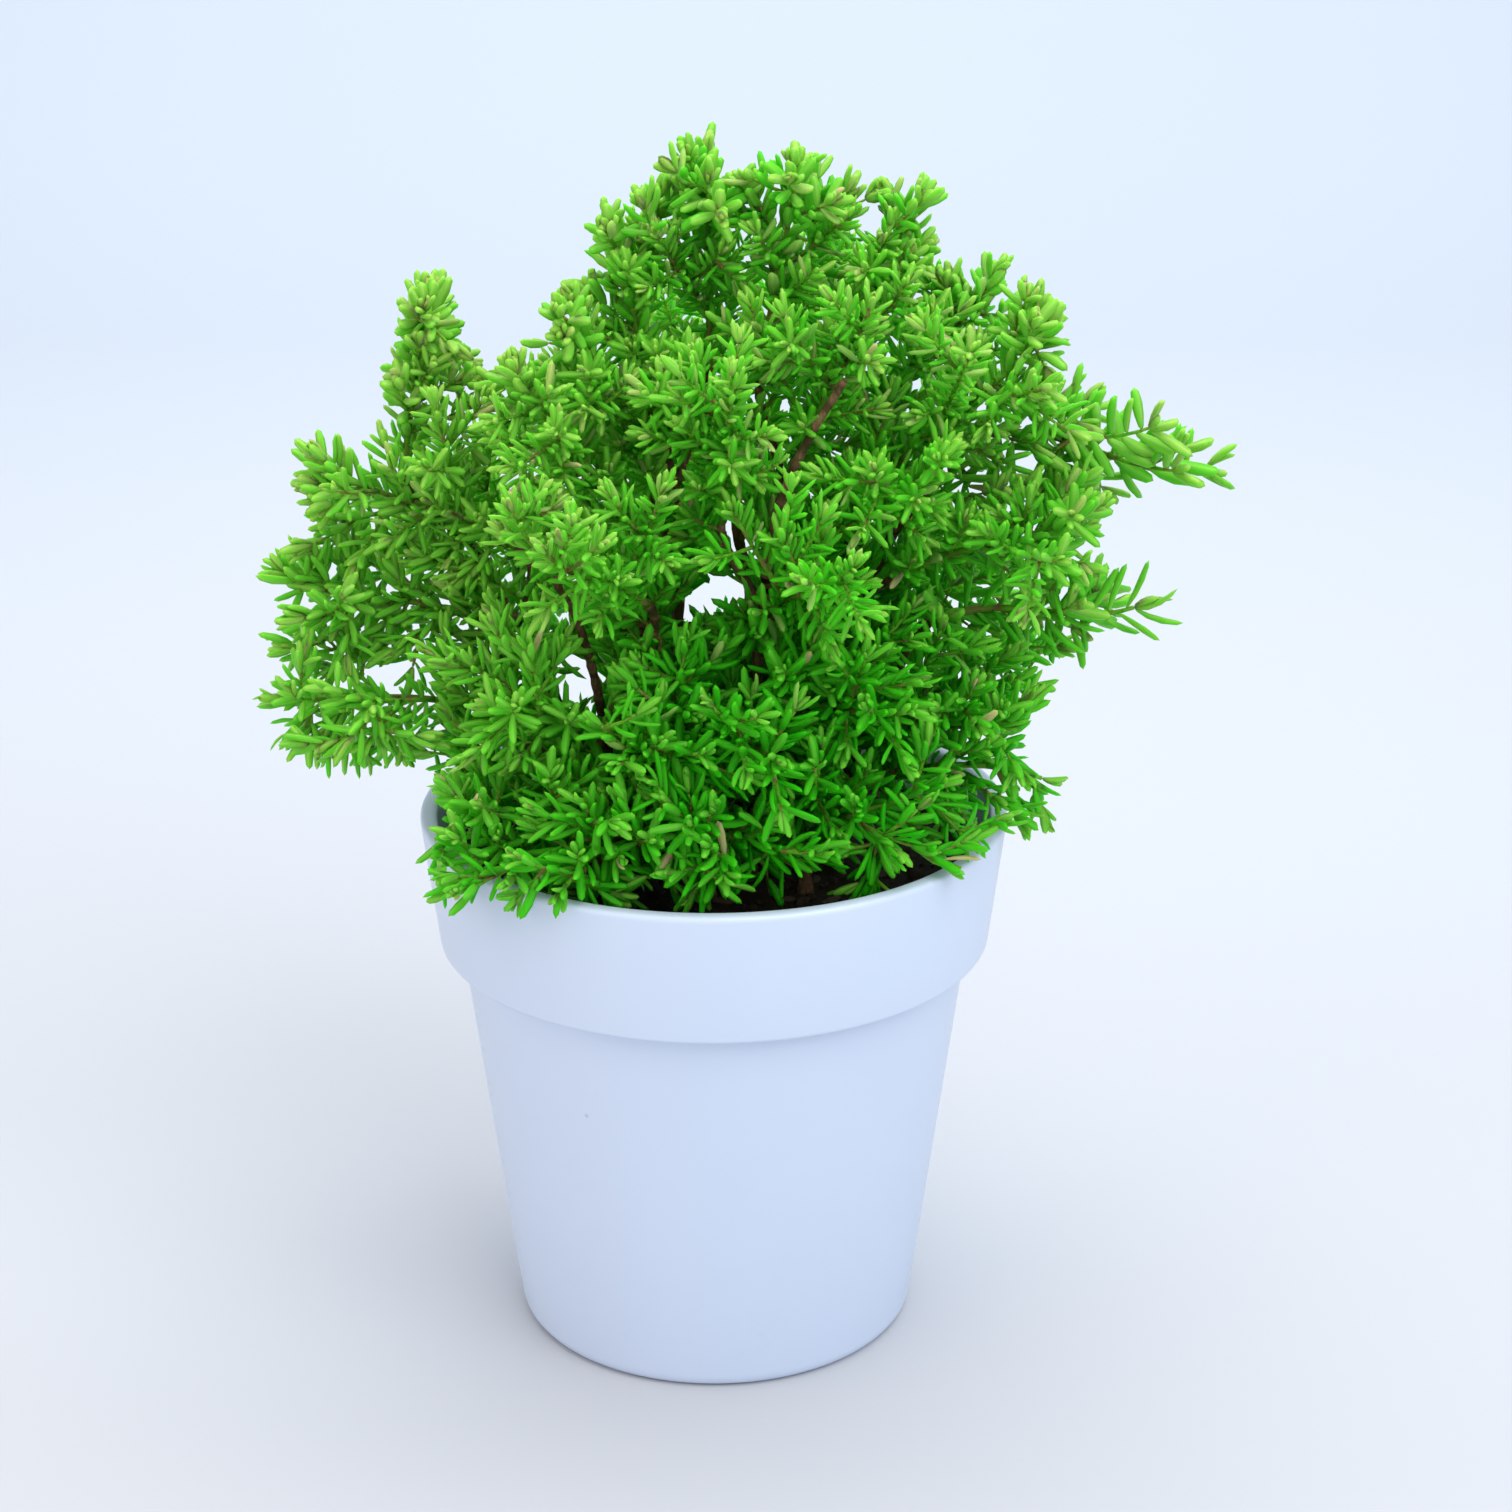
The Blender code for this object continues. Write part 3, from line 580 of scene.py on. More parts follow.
def sprayEnds(rng):
    ends = {}
    for name in sprayTips:
        tip = inMetres(sprayTips[name])
        ends[name] = (inMetres(sprayFeet[name]) if name in sprayFeet else footOf(tip), tip)
    while len(ends) < crown["sprays"]:
        best = None
        for _ in range(crown["tipTries"]):
            tip = crownTip(rng)
            foot = footOf(tip)
            if any(inGap(foot.lerp(tip, t), crown["stemGapMargin"]) for t in crown["stemProbes"]):
                continue
            if not inOutline(tip, crown["tipInset"]):
                continue
            room = nearest(tip, [other for _, other in ends.values()])
            room = min(room, crown["footRoom"] * nearest(foot, [other for other, _ in ends.values()]))
            if best is None or room > best[0]:
                best = (room, foot, tip)
        ends["fill_%02d" % (len(ends) + 1)] = best[1:]
    return ends


def sprayLine(foot, tip, count):
    along = (tip - foot).normalized()
    lift = up * between((tip.z - crown["liftFrom"]) / crown["liftOver"], *crown["lifts"])
    return curvePoints(foot, along + up * crown["leavesUp"], tip, along + lift, count)


def trunkLine(root, feet, count):
    # from the soil to a little short of the middle of the feet it carries, swaying on the way
    start = inMetres((*root, 0)) + up * (soil["top"] + crown["trunkFoot"])
    end = start.lerp(sum(feet, Vector()) / len(feet), crown["trunkReach"])
    arriving = (end - start).normalized()
    line = curvePoints(start, up + arriving * crown["trunkLean"], end, arriving, count)
    for i, point in enumerate(line):
        held = rise(min(i, count - 1 - i) / (count - 1), 0.0, crown["swayEnds"])
        line[i] = point + noise.noise_vector(point * crown["swaysAMetre"]) * crown["trunkSway"] * held
    return line


def twigLine(trunk, foot, arriving, taken):
    best = None
    for place in range(1, len(trunk)):
        start = trunk[place]
        line = [start, foot - arriving * crown["twigLead"], foot]
        turned = (foot - start).angle(start - trunk[place - 1]) + arriving.angle(foot - start)
        room = min(nearest(point, taken) for point in finely(line))
        score = twigChoice["room"] * min(room, twigChoice["roomMost"])
        score -= twigChoice["length"] * (foot - start).length
        score -= twigChoice["turned"] * turned
        if best is None or score > best[0]:
            best = (score, line)
    return best[1]


def shootEnds(line, share, turn, tilt, length):
    place = round(share * (len(line) - 1))
    along = (line[place] - line[place - 1]).normalized()
    side = along.orthogonal().normalized()
    side.rotate(Matrix.Rotation(turn, 3, along))
    leaving = (along * math.cos(tilt) + side * math.sin(tilt) + up * crown["shootLift"]).normalized()
    return [line[place], line[place] + leaving * length]


# how much room a shoot loses by each fault of its place
faults = dict(overPot=0.1, inGap=0.05, outside=0.03)


def roomiest(line, share, rng, kind, scale, inSomeGap, roomAt):
    # of several shoots from one place, the one with most room: its room, foot, tip and points
    best = None
    for _ in range(kind["tries"]):
        turn = rng.uniform(0.0, math.tau)
        tilt = math.radians(rng.uniform(*kind["tilts"]))
        start, tip = shootEnds(line, share, turn, tilt, rng.uniform(*kind["lengths"]) * scale)
        body = [start.lerp(tip, t) for t in kind["probes"]]
        room = min(roomAt(point) for point in body)
        if any(overPot(point, kind["margin"]) < 0 for point in body):
            room -= faults["overPot"]
        if any(inSomeGap(point, kind["gapMargin"]) for point in body):
            room -= faults["inGap"]
        if not inOutline(tip, kind["inset"]):
            room -= faults["outside"]
        if best is None or room > best[0]:
            best = (room, start, tip, body)
    return best


def sideShoots(line, rng, taken):
    made = []
    for i in range(sideShoot["each"]):
        stray = rng.uniform(0.0, sideShoot["stray"])
        share = sideShoot["first"] + sideShoot["spread"] * (i + stray) / sideShoot["each"]
        scale = (sideShoot["shorter"] - share) * crown["sprayLength"]
        best = roomiest(line, share, rng, sideShoot, scale, inGap, lambda point: nearest(point, taken))
        made.append(list(best[1:3]))
        taken.extend(best[3])
    return made


def plantLines():
    # trunks by name, twigs by spray, and each spray's stem with its side shoots
    rng = random.Random(crown["seed"])
    ends = sprayEnds(rng)
    feeding = {}
    for name, (foot, tip) in ends.items():
        stem = min(stems, key=lambda each: (inMetres(stems[each][1]) - tip).length)
        feeding.setdefault(stem, []).append(name)
    feet = {stem: [ends[name][0] for name in fed] for stem, fed in feeding.items()}
    sprays = {name: [sprayLine(*ends[name], 5)] for fed in feeding.values() for name in fed}
    trunks = {stem: trunkLine(stems[stem][0], feet[stem], 5) for stem in feeding}
    woods = {stem: finely(trunk) for stem, trunk in trunks.items()}
    twigs = {}
    for stem, fed in feeding.items():
        for name in fed:
            others = [point for other in woods if other != stem for point in woods[other]]
            others += [point for other in sprays if other != name for point in sprays[other][0]]
            line = sprays[name][0]
            twig = twigLine(trunks[stem], line[0], (line[1] - line[0]).normalized(), others)
            twigs[name] = (stem, twig)
            woods[stem] = woods[stem] + finely(twig)
    taken = [point for points in woods.values() for point in points]
    taken += [point for lines in sprays.values() for point in lines[0]]
    for lines in sprays.values():
        lines.extend(sideShoots(lines[0], rng, taken))
    return ends, feet, twigs, sprays, taken


def bareLine(name):
    points = [inMetres(point) for point in bareBranches[name]]
    leaving, turning, arriving = [b - a for a, b in zip(points, points[1:])]
    line = curvePoints(points[0], leaving, points[2], turning, 9)
    return evenly(line + curvePoints(points[2], turning, points[3], arriving, 7)[1:], wood["ringEvery"])


# Woody stems

wood = dict(
    radius=0.0017, twigRadius=0.00095, topWider=1.25, rootDepth=0.008, flare=1.25, flareHeight=0.006,
    sides=10, twigPoints=17, ringEvery=0.0012, knots=0.00022, knotsAMetre=420.0, ringsAMetre=924.0,
    lumps=0.8, barkDepth=0.0003,
    dark=(0.060, 0.028, 0.013), bark=(0.23, 0.120, 0.055), pale=(0.38, 0.25, 0.14),
    green=(0.12, 0.22, 0.035),
)


def woodTube(bm, line, radii):
    # its points are pushed in and out from its line, in rings where leaves have grown
    for vert in growTube(bm, line, radii, wood["sides"]):
        middle = min(line, key=lambda point: (point - vert.co).length_squared)
        out = (vert.co - middle).normalized()
        ring = noise.noise(up * middle.z * wood["ringsAMetre"])
        lump = noise.noise(vert.co * wood["knotsAMetre"])
        vert.co += out * wood["knots"] * (ring + wood["lumps"] * lump)


def evenly(line, every):
    # the same smooth line with points an even way apart
    lengths = [0.0]
    for start, end in zip(line, line[1:]):
        lengths.append(lengths[-1] + (end - start).length)
    count = max(2, round(lengths[-1] / every))
    points = []
    place = 0
    for i in range(count + 1):
        wanted = lengths[-1] * i / count
        while place < len(line) - 2 and lengths[place + 1] < wanted:
            place += 1
        share = (wanted - lengths[place]) / (lengths[place + 1] - lengths[place])
        points.append(line[place].lerp(line[place + 1], share))
    return points


def makeStem(name, feet, twigs, paint):
    trunk = trunkLine(stems[name][0], feet, crown["trunkPoints"])
    foot = Vector((trunk[0].x, trunk[0].y, soil["top"] - wood["rootDepth"]))
    line = evenly([foot] + trunk, wood["ringEvery"])
    radii = []
    for i, point in enumerate(line):
        radius = mix(wood["radius"], wood["twigRadius"] * wood["topWider"], i / (len(line) - 1))
        nearSoil = rise(point.z, soil["top"] + wood["flareHeight"], soil["top"])
        radii.append(radius * mix(1.0, wood["flare"], nearSoil**2))
    bm = bmesh.new()
    woodTube(bm, line, radii)
    for start, lead, end in twigs:
        route = curvePoints(start, end - start, end, end - lead, wood["twigPoints"])
        route = evenly(route, wood["ringEvery"])
        woodTube(bm, route, [wood["twigRadius"]] * len(route))
    bmesh.ops.recalc_face_normals(bm, faces=bm.faces)
    pieceFrom(bm, "woodyStem_" + name, paint, "wood", "stem_" + name)


def makeBareBranches(paint):
    start, lost = bareTaper
    bm = bmesh.new()
    for name in bareBranches:
        line = bareLine(name)
        woodTube(bm, line, [bareRadius * (start - lost * i / len(line)) for i in range(len(line))])
    bmesh.ops.recalc_face_normals(bm, faces=bm.faces)
    pieceFrom(bm, "woodyStem_bare", paint, "wood")


def woodPaint():
    paint = Paint("stonecropBark", wood["dark"], {"Specular IOR Level": 0.3})
    patches = paint.noise(180.0, 4.0, 0.6)
    stretched = paint.node("ShaderNodeMapping", {}, {"Vector": paint.place, "Scale": (1.0, 1.0, 0.22)})
    streaks = paint.noise(1500.0, 4.0, 0.65, stretched)
    scars = paint.fade(paint.noise(640.0, 2.0), 0.58, 0.66)
    paint.cover(patches, wood["bark"])
    paint.cover(paint.fade(streaks, 0.5, 0.72) * 0.55, wood["pale"])
    paint.cover(scars * 0.35, wood["green"])
    return paint.finish(0.66 + streaks * 0.25, streaks + patches, wood["barkDepth"], 0.7)


# Leafy sprays

leaf = dict(
    seed=61, length=0.0083, width=0.00225, faceUp=0.42, faceDown=0.70, baseWidth=0.58, fullAt=0.55,
    blunt=0.62, bends=(-0.22, -0.06, 0.05, 0.13, 0.22, 0.34, 0.50),
    skews=(0.10, 0.02, 0.09, -0.10, 0.05, -0.06, -0.12),
    # sides and rings of the full shapes and of the plain ones
    detail=((6, 5), (5, 4)), plainInside=0.35, plainFine=0.3, insideWider=1.25,
    straightFrom=0.35, straight=slice(1, 5), halfWidth=0.6, gapMargin=0.0003, probes=(0.45, 0.75),
    widths=(0.88, 1.12), widthPower=0.3,
    dryShare=0.003, paleShare=0.10, pale=(0.25, 0.5), fineCloser=0.55, lowApart=0.16,
    underDark=0.8, underBare=0.65,
    # to start with, and what is added where leaves are showy, plump and fine
    longer=(0.97, 0.06, -0.11, -0.12),
    # the same for a little plump, showy, both plump and showy, fine and in rows
    wider=(0.87, 0.07, 0.05, 0.18, -0.27, 0.20),
)

# where leaves change, each from its start to where the change is full
zone = dict(
    plump=(0.145, 0.230), fineAcross=(0.074, 0.050), fineUp=(0.146, 0.186), low=(0.140, 0.125),
    outside=(0.030, 0.075), under=(0.138, 0.120), underReach=(0.034, 0.056),
    left=(-0.005, -0.050), right=(0.035, 0.075), paintedSideLight=(0.120, 0.150),
)

# how young and how pale a leaf looks; the younger tips and rosettes and the random spread are the leaves'
# own, the rest is painted light and shade:
#  what is left inside the crown, low down and where it isn't showy is painted shade, then what is added
#  high up (for young paleness also where it is showy) and at the sides is painted light
tint = dict(
    youthPower=1.6, youthLeftInShade=(0.3, 0.54, 0.8), youthAddedInLight=(0.0, 0.10, 0.08, 0.34),
    toneLeftInShade=(0.45, 0.66), toneAddedInLight=(0.0, 0.38, 0.60), tip=0.6, rosette=0.5, varies=0.28,
)

shoot = dict(
    leafEvery=0.00108, openApart=0.30, rowsApart=0.50, turnVaries=0.4,
    tiltAtFoot=76.0, tiltAtTip=48.0, tiltLow=0.66, tiltRows=16.0, tiltVaries=19.0, rosetteTilt=0.70,
    rosette=7, plainEnd=4, plainShow=0.2, topFrom=0.256, edge=0.007, rosetteSmall=0.40,
    rowsMost=0.85, rowsStray=0.5, rowsCalm=0.6, rowsLong=0.32,
    growth=(0.76, 1.14), footSmall=0.88, footOver=0.25,
    skyward=0.30, liftFrom=0.150, liftOver=0.045, lifts=(-1.0, 0.7), rosetteCalm=0.6,
    unruly=0.28, unrulyLow=0.48, unrulyAMetre=900.0, bowDown=0.1, bowUp=(0.05, 0.35),
    # radius, and the share of its length where its leaves start
    stem=(0.00085, 0.06), side=(0.00062, 0.08), small=(0.0005, 0.12), filling=(0.0005, 0.15),
    taper=0.45, sides=6, stemPoints=13, trim=0.0030, trimStep=0.0005, lineStep=0.0025,
)

# how small shoots are placed, how many grow on each kind of stem, and between which shares of it
smallShoot = dict(
    tries=10, tilts=(42, 66), lengths=(0.009, 0.016), probes=(0.6, 1.0), margin=0.003, gapMargin=0.002,
    inset=0.002, onStem=(8, 0.08, 0.86), fewerOpen=0.6, onSide=(2, 0.3, 0.75), onTwig=(4, 0.25, 1.0),
    onTrunk=(12, 0.2, 1.0), strays=(0.1, 0.9), twigStep=0.002,
)

# shoots that fill thin places of the front view: how far apart places are looked at, how near a tenth
# point of a shoot must be there, and how long the shoots are
thin = dict(
    step=0.0036, enough=0.0038, points=10, inset=0.0032, margin=0.002, shortest=0.007, longest=0.020,
    rightEnd=0.080, choice=(0.8, 1.2), depthVaries=0.3, probe=0.6,
)

# sprays whose leaves stand apart, with more of the stem showing
openSprays = dict(
    long_right=1.1, middle_right=1.0, low_left=0.4, rim_right=0.5, rim_front=0.4, rim_front_right=0.5,
    apron_middle_right=0.4, apron_middle_left=0.3, apron_right=0.4,
)

heart = Vector((0.0, 0.004, 0.150))  # the crown's heart, where painted shade makes the leaves darkest
# how far past the modelled box a leaf's tip may reach, on each axis
spare = [0.015 * (high - low) for low, high in zip(*cadBox)]


def leafShape(bend, skew, sides, rings):
    # a fleshy needle one unit long up Z, flatter on the face it turns to the shoot
    bm = bmesh.new()
    bmesh.ops.create_uvsphere(bm, u_segments=sides, v_segments=rings, radius=1.0)
    alongLayer = bm.verts.layers.float.new("leafAlong")
    rimLayer = bm.verts.layers.float.new("leafRim")
    slimness = leaf["length"] / leaf["width"]
    for vert in bm.verts:
        along = (vert.co.z + 1) / 2
        girth = math.hypot(vert.co.x, vert.co.y)
        pole = girth < 0.01
        fuller = 1.0 if pole else girth ** (leaf["blunt"] - 1)
        breadth = fuller * mix(leaf["baseWidth"], 1.0, min(1.0, along / leaf["fullAt"])) * 0.5
        across = vert.co.x * breadth
        depth = vert.co.y * breadth * (leaf["faceUp"] if vert.co.y > 0 else leaf["faceDown"])
        vert[alongLayer] = along
        vert[rimLayer] = 0.4 if pole else max(0.0, 2 * abs(vert.co.x) / girth - 1)
        vert.co = (across + skew * along**2 * slimness, depth + bend * along**2 * slimness, along)
    mesh = meshFrom(bm, "leafShape")
    for name in ("leafTone", "leafYouthAndPaintedLight", "leafDry"):
        mesh.attributes.new(name, "FLOAT", "POINT")
    return mesh, [value for vert in mesh.vertices for value in vert.co]


def withinBox(place):
    return all(low - more < value < high + more for value, low, high, more in zip(place, *cadBox, spare))


def weighed(terms, shares):
    # the first term, and each later one times its share
    return terms[0] + sum(term * share for term, share in zip(terms[1:], shares))


def lessened(value, left, shares):
    # what is left of a value where the shares are 0; where they are 1 it stays whole
    return value * math.prod(mix(low, 1.0, share) for low, share in zip(left, shares))


def plumpness(place):
    # leaves are plumper high in the crown, slimmer and longer low down
    return rise(place.z, *zone["plump"])


def fineness(place, showy):
    # leaves are finer in the middle of the crown than at its edge and low down
    return (1 - showy) * rise(abs(place.x), *zone["fineAcross"]) * rise(place.z, *zone["fineUp"])


def hidesBare(place, bare):
    # whether a leaf here would stand right in front of a bare branch
    tree, depths = bare
    _, spot, away = tree.find(seenPlace(place))
    return away < bareClear and place.y < depths[spot]


def addLeaf(bm, kit, root, direction, towards, growth, youthAndPaintedLight, showy, rows):
    # one leaf, if it is clear of the pot, the soil and the crown's gaps
    shapes, bare, rng = kit
    plump = plumpness(root)
    fine = fineness(root, showy)
    length = leaf["length"] * growth * weighed(leaf["longer"], (showy, plump, fine))
    width = leaf["width"] * growth ** leaf["widthPower"] * rng.uniform(*leaf["widths"])
    width *= weighed(leaf["wider"], (min(1.0, 3 * plump), showy, showy * plump, fine, min(1.0, rows)))
    tip = root + direction * length
    body = [root.lerp(tip, t) for t in leaf["probes"]] + [tip]
    tone = rng.random()
    # painted shade: leaves are darker towards the heart of the crown, and darker still under
    #  the shoots that lean over the rim, where shade falls; there they are fewer too
    under = rise(root.z, *zone["under"]) * (1 - rise(math.hypot(root.x, root.y), *zone["underReach"]))
    outside = rise((root - heart).length, *zone["outside"]) * (1 - leaf["underDark"] * under)
    if rng.random() < leaf["underBare"] * under:
        return False
    # painted light: leaves are paler towards the left, and half as much towards the right
    paintedSideLight = rise(root.x, *zone["left"]) + 0.5 * rise(root.x, *zone["right"])
    paintedSideLight *= rise(root.z, *zone["paintedSideLight"])
    # painted shade and painted light: a leaf's young paleness and tone are lowered inside the crown, low
    # down and away from the edge, and raised high up and at the sides
    youthAndPaintedLight **= mix(tint["youthPower"], 1.0, plump)
    youthAndPaintedLight = lessened(youthAndPaintedLight, tint["youthLeftInShade"], (outside, plump, showy))
    youthAndPaintedLight = between(youthAndPaintedLight + weighed(tint["youthAddedInLight"], (plump, showy * plump, paintedSideLight)), 0.0, 1.0)
    tone = lessened(tone, tint["toneLeftInShade"], (outside, plump)) + weighed(tint["toneAddedInLight"], (plump, paintedSideLight))
    # a few are dried up, and more of them are pale and yellowish
    dry = 1.0 if rng.random() < leaf["dryShare"] * (2 - outside) else 0.0
    if rng.random() < leaf["paleShare"] * plump:
        dry = rng.uniform(*leaf["pale"])
    kinds = shapes[0] if outside > leaf["plainInside"] and fine < leaf["plainFine"] else shapes[1]
    if outside < leaf["plainInside"]:
        width *= leaf["insideWider"]
    mesh, rest = rng.choice(kinds if plump < leaf["straightFrom"] else kinds[leaf["straight"]])
    for point in body:
        if overPot(point, width * leaf["halfWidth"]) < 0 or inLeafGap(point, leaf["gapMargin"]):
            return False
    if rng.random() > bareCovered and any(hidesBare(point, bare) for point in body[:2]):
        return False
    if not withinBox(tip) or not inOutline(body[0 if rows > 0 else 1], 0.0):
        return False
    across = towards.cross(direction).normalized()
    turn = Matrix((across, direction.cross(across), direction)).transposed().to_4x4()
    mesh.transform(Matrix.Translation(root) @ turn @ Matrix.Diagonal((width, width, length, 1.0)))
    for name, value in (("leafTone", tone), ("leafYouthAndPaintedLight", youthAndPaintedLight), ("leafDry", dry)):
        mesh.attributes[name].data.foreach_set("value", [value] * len(mesh.vertices))
    bm.from_mesh(mesh)
    mesh.vertices.foreach_set("co", rest)
    return True


def trimmed(line):
    # the same line, ending a little sooner
    points = evenly(line, shoot["trimStep"])
    kept = max(6, len(points) - round(shoot["trim"] / shoot["trimStep"]))
    return evenly(points[:kept], shoot["lineStep"])


def clotheShoot(bm, kit, line, firstLeaf, openness):
    # leaves in a spiral up the shoot, ending in a small rosette; open shoots hold theirs in two rows
    # full rosettes show at the top and along the crown's edge
    rng = kit[2]
    rows = max(0.0, 2 * openness - 1)
    atEdge = line[-1].z > shoot["topFrom"] or not inOutline(line[-1], shoot["edge"])
    showy = 1.0 if rows > 0 or atEdge else shoot["plainShow"]
    middle = line[len(line) // 2]
    every = shoot["leafEvery"] * (1 + shoot["openApart"] * openness + shoot["rowsApart"] * rows)
    every *= 1 - leaf["fineCloser"] * fineness(middle, showy)
    every *= 1 + leaf["lowApart"] * rise(middle.z, *zone["low"])
    total = sum((b - a).length for a, b in zip(line, line[1:]))
    count = max(4, round(total * (1 - firstLeaf) / every))
    turn = rng.uniform(0.0, math.tau)
    rosette = shoot["rosette"] if showy == 1.0 and rows == 0 else shoot["plainEnd"]
    made = 0
    for i in range(count + rosette):
        inRosette = max(0, i - count + 1) / rosette
        share = min(1.0, mix(firstLeaf, 1.0, i / count))
        spot = between(share * (len(line) - 1), 0.0, len(line) - 1.001)
        place = int(spot)
        root = line[place].lerp(line[place + 1], spot - place)
        along = (line[place + 1] - line[place]).normalized()
        side = along.orthogonal().normalized()
        turn += goldenAngle + eitherWay(rng, shoot["turnVaries"])
        side.rotate(Matrix.Rotation(turn, 3, along))
        if rows > 0:
            # above and below the shoot by turns
            across = along.cross(Vector((0.0, 1.0, 0.0))) * (1 if i % 2 else -1)
            across.y += eitherWay(rng, shoot["rowsStray"])
            side = side.lerp(across, min(shoot["rowsMost"], rows)).normalized()
        high = plumpness(root)
        tilt = mix(shoot["tiltAtFoot"], shoot["tiltAtTip"], share**2) * mix(shoot["tiltLow"], 1.0, high)
        tilt = (tilt + shoot["tiltRows"] * rows * share) * (1 - shoot["rosetteTilt"] * inRosette)
        tilt = math.radians(tilt + eitherWay(rng, shoot["tiltVaries"]))
        direction = along * math.cos(tilt) + side * math.sin(tilt)
        # leaves reach for the light high in the crown and hang low down
        lift = between((root.z - shoot["liftFrom"]) / shoot["liftOver"], *shoot["lifts"])
        direction += up * shoot["skyward"] * lift * (1 - inRosette)
        unruly = mix(shoot["unrulyLow"], shoot["unruly"], high)
        unruly *= (1 - shoot["rosetteCalm"] * inRosette) * (1 - shoot["rowsCalm"] * min(1.0, rows))
        direction += noise.noise_vector(root * shoot["unrulyAMetre"] + side) * unruly
        direction.normalize()
        growth = rng.uniform(*shoot["growth"]) * (1 - shoot["rosetteSmall"] * inRosette)
        pastFoot = rise(share, 0.0, shoot["footOver"])
        growth *= mix(shoot["footSmall"], 1.0, pastFoot) * (1 + shoot["rowsLong"] * rows)
        youthAndPaintedLight = share**3 * tint["tip"] + inRosette * tint["rosette"]
        youthAndPaintedLight = between(youthAndPaintedLight + eitherWay(rng, tint["varies"]), 0.0, 1.0)
        made += addLeaf(bm, kit, root, direction, along, growth, youthAndPaintedLight, showy, rows)
    return made


def smallShoots(line, count, first, last, rng, crowd, placed):
    # short shoots that fill out a line, each turned to where there is most room
    def roomAt(point):
        return min(crowd.find(point)[2], nearest(point, placed))
    made = []
    for i in range(count):
        share = mix(first, last, (i + rng.uniform(*smallShoot["strays"])) / count)
        best = roomiest(line, share, rng, smallShoot, 1.0, inLeafGap, roomAt)
        if inOutline(best[2], 0.0):
            made.append(best[1:3])
            placed.extend(best[3])
    return made


def bowed(start, tip, rng, count=7):
    # a side shoot's line, bent a little towards the light
    along = (tip - start).normalized()
    arriving = along + up * rng.uniform(*shoot["bowUp"])
    return curvePoints(start, along - up * shoot["bowDown"], tip, arriving, count)


def treeOf(points):
    tree = kdtree.KDTree(len(points))
    for i, point in enumerate(points):
        tree.insert(point, i)
    tree.balance()
    return tree


def leafyPiece(name, grown, openness, kit, paint, *nodes):
    # green stalks along each (line, radius, share where its leaves start), and their leaves
    bm = bmesh.new()
    stalk = bm.verts.layers.float.new("stalk")
    for layer in ("leafAlong", "leafRim", "leafTone", "leafYouthAndPaintedLight", "leafDry"):
        bm.verts.layers.float.new(layer)
    for line, radius, _ in grown:
        radii = [radius * (1 - shoot["taper"] * i / (len(line) - 1)) for i in range(len(line))]
        for vert in growTube(bm, line, radii, shoot["sides"]):
            vert[stalk] = 1.0
    bmesh.ops.recalc_face_normals(bm, faces=bm.faces)
    made = sum(clotheShoot(bm, kit, line, firstLeaf, openness) for line, _, firstLeaf in grown)
    pieceFrom(bm, name, paint, "leaf", *nodes)
    return made


def growSpray(name, ends, lines, twig, taken, rng):
    # a spray's stem, its side shoots and its small shoots, before any leaves
    crowd = treeOf(taken)
    placed = [ends[1]]
    stem = sprayLine(*ends, shoot["stemPoints"])
    grown = [(trimmed(stem), *shoot["stem"])]
    grown += [(trimmed(bowed(*line, rng)), *shoot["side"]) for line in lines[1:]]
    openness = openSprays.get(name, 0.0)
    count, first, last = smallShoot["onStem"]
    count = round(count * (1 - smallShoot["fewerOpen"] * openness))
    small = smallShoots(stem, count, first, last, rng, crowd, placed)
    if openness < 1:
        for line, _, _ in grown[1:]:
            small += smallShoots(line, *smallShoot["onSide"], rng, crowd, placed)
    small += smallShoots(evenly(twig, smallShoot["twigStep"]), *smallShoot["onTwig"], rng, crowd, placed)
    grown += [(trimmed(bowed(*line, rng)), *shoot["small"]) for line in small]
    taken.extend(placed)
    return grown


def fillThin(sprays, rng):
    # more small shoots, from the nearest stems, wherever the front view shows too few
    lines = [(name, line) for name, grown in sprays.items() for line, _, _ in grown]
    owners = [(name, point) for name, line in lines for point in finely(line)]
    seen = [seenPlace(point) for _, point in owners]
    (left, right), (low, high) = [(min(each) * mm, max(each) * mm) for each in zip(*outline)]
    step, margin = thin["step"], thin["margin"]
    places = [
        Vector((left + (column + rng.random()) * step, 0.0, low + (row + rng.random()) * step))
        for column in range(round((right - left) / step))
        for row in range(round((high - low) / step))
    ]
    rng.shuffle(places)
    tree = treeOf(seen)
    filled = 0
    for place in places:
        if place.x > thin["rightEnd"] or not inOutline(place, thin["inset"]) or inLeafGap(place, margin):
            continue
        if tree.find_n(place, thin["points"])[-1][2] < thin["enough"]:
            continue
        near = [hit for hit in tree.find_range(place, thin["longest"]) if hit[2] > thin["shortest"]]
        if not near:
            continue
        name, start = owners[min(near, key=lambda hit: hit[2] * rng.uniform(*thin["choice"]))[1]]
        tip = viewpoint + (place - viewpoint) * (viewpoint.y - start.y) / viewpoint.y
        tip.y += eitherWay(rng, thin["depthVaries"]) * (tip - start).length
        middle = start.lerp(tip, thin["probe"])
        if overPot(tip, margin) < 0 or overPot(middle, margin) < 0 or inLeafGap(middle, margin):
            continue
        line = bowed(start, tip, rng)
        sprays[name].append((line, *shoot["filling"]))
        for point in finely(line):
            owners.append((name, point))
            seen.append(seenPlace(point))
        tree = treeOf(seen)
        filled += 1
    print("thin places filled", filled)


def growInner(name, feet, taken, rng):
    # shoots on the woody stem itself, which close the heart of the crown
    crowd = treeOf(taken)
    placed = [feet[0]]
    trunk = trunkLine(stems[name][0], feet, crown["trunkPoints"])
    small = smallShoots(trunk, *smallShoot["onTrunk"], rng, crowd, placed)
    taken.extend(placed)
    return [(bowed(*line, rng), *shoot["filling"]) for line in small]


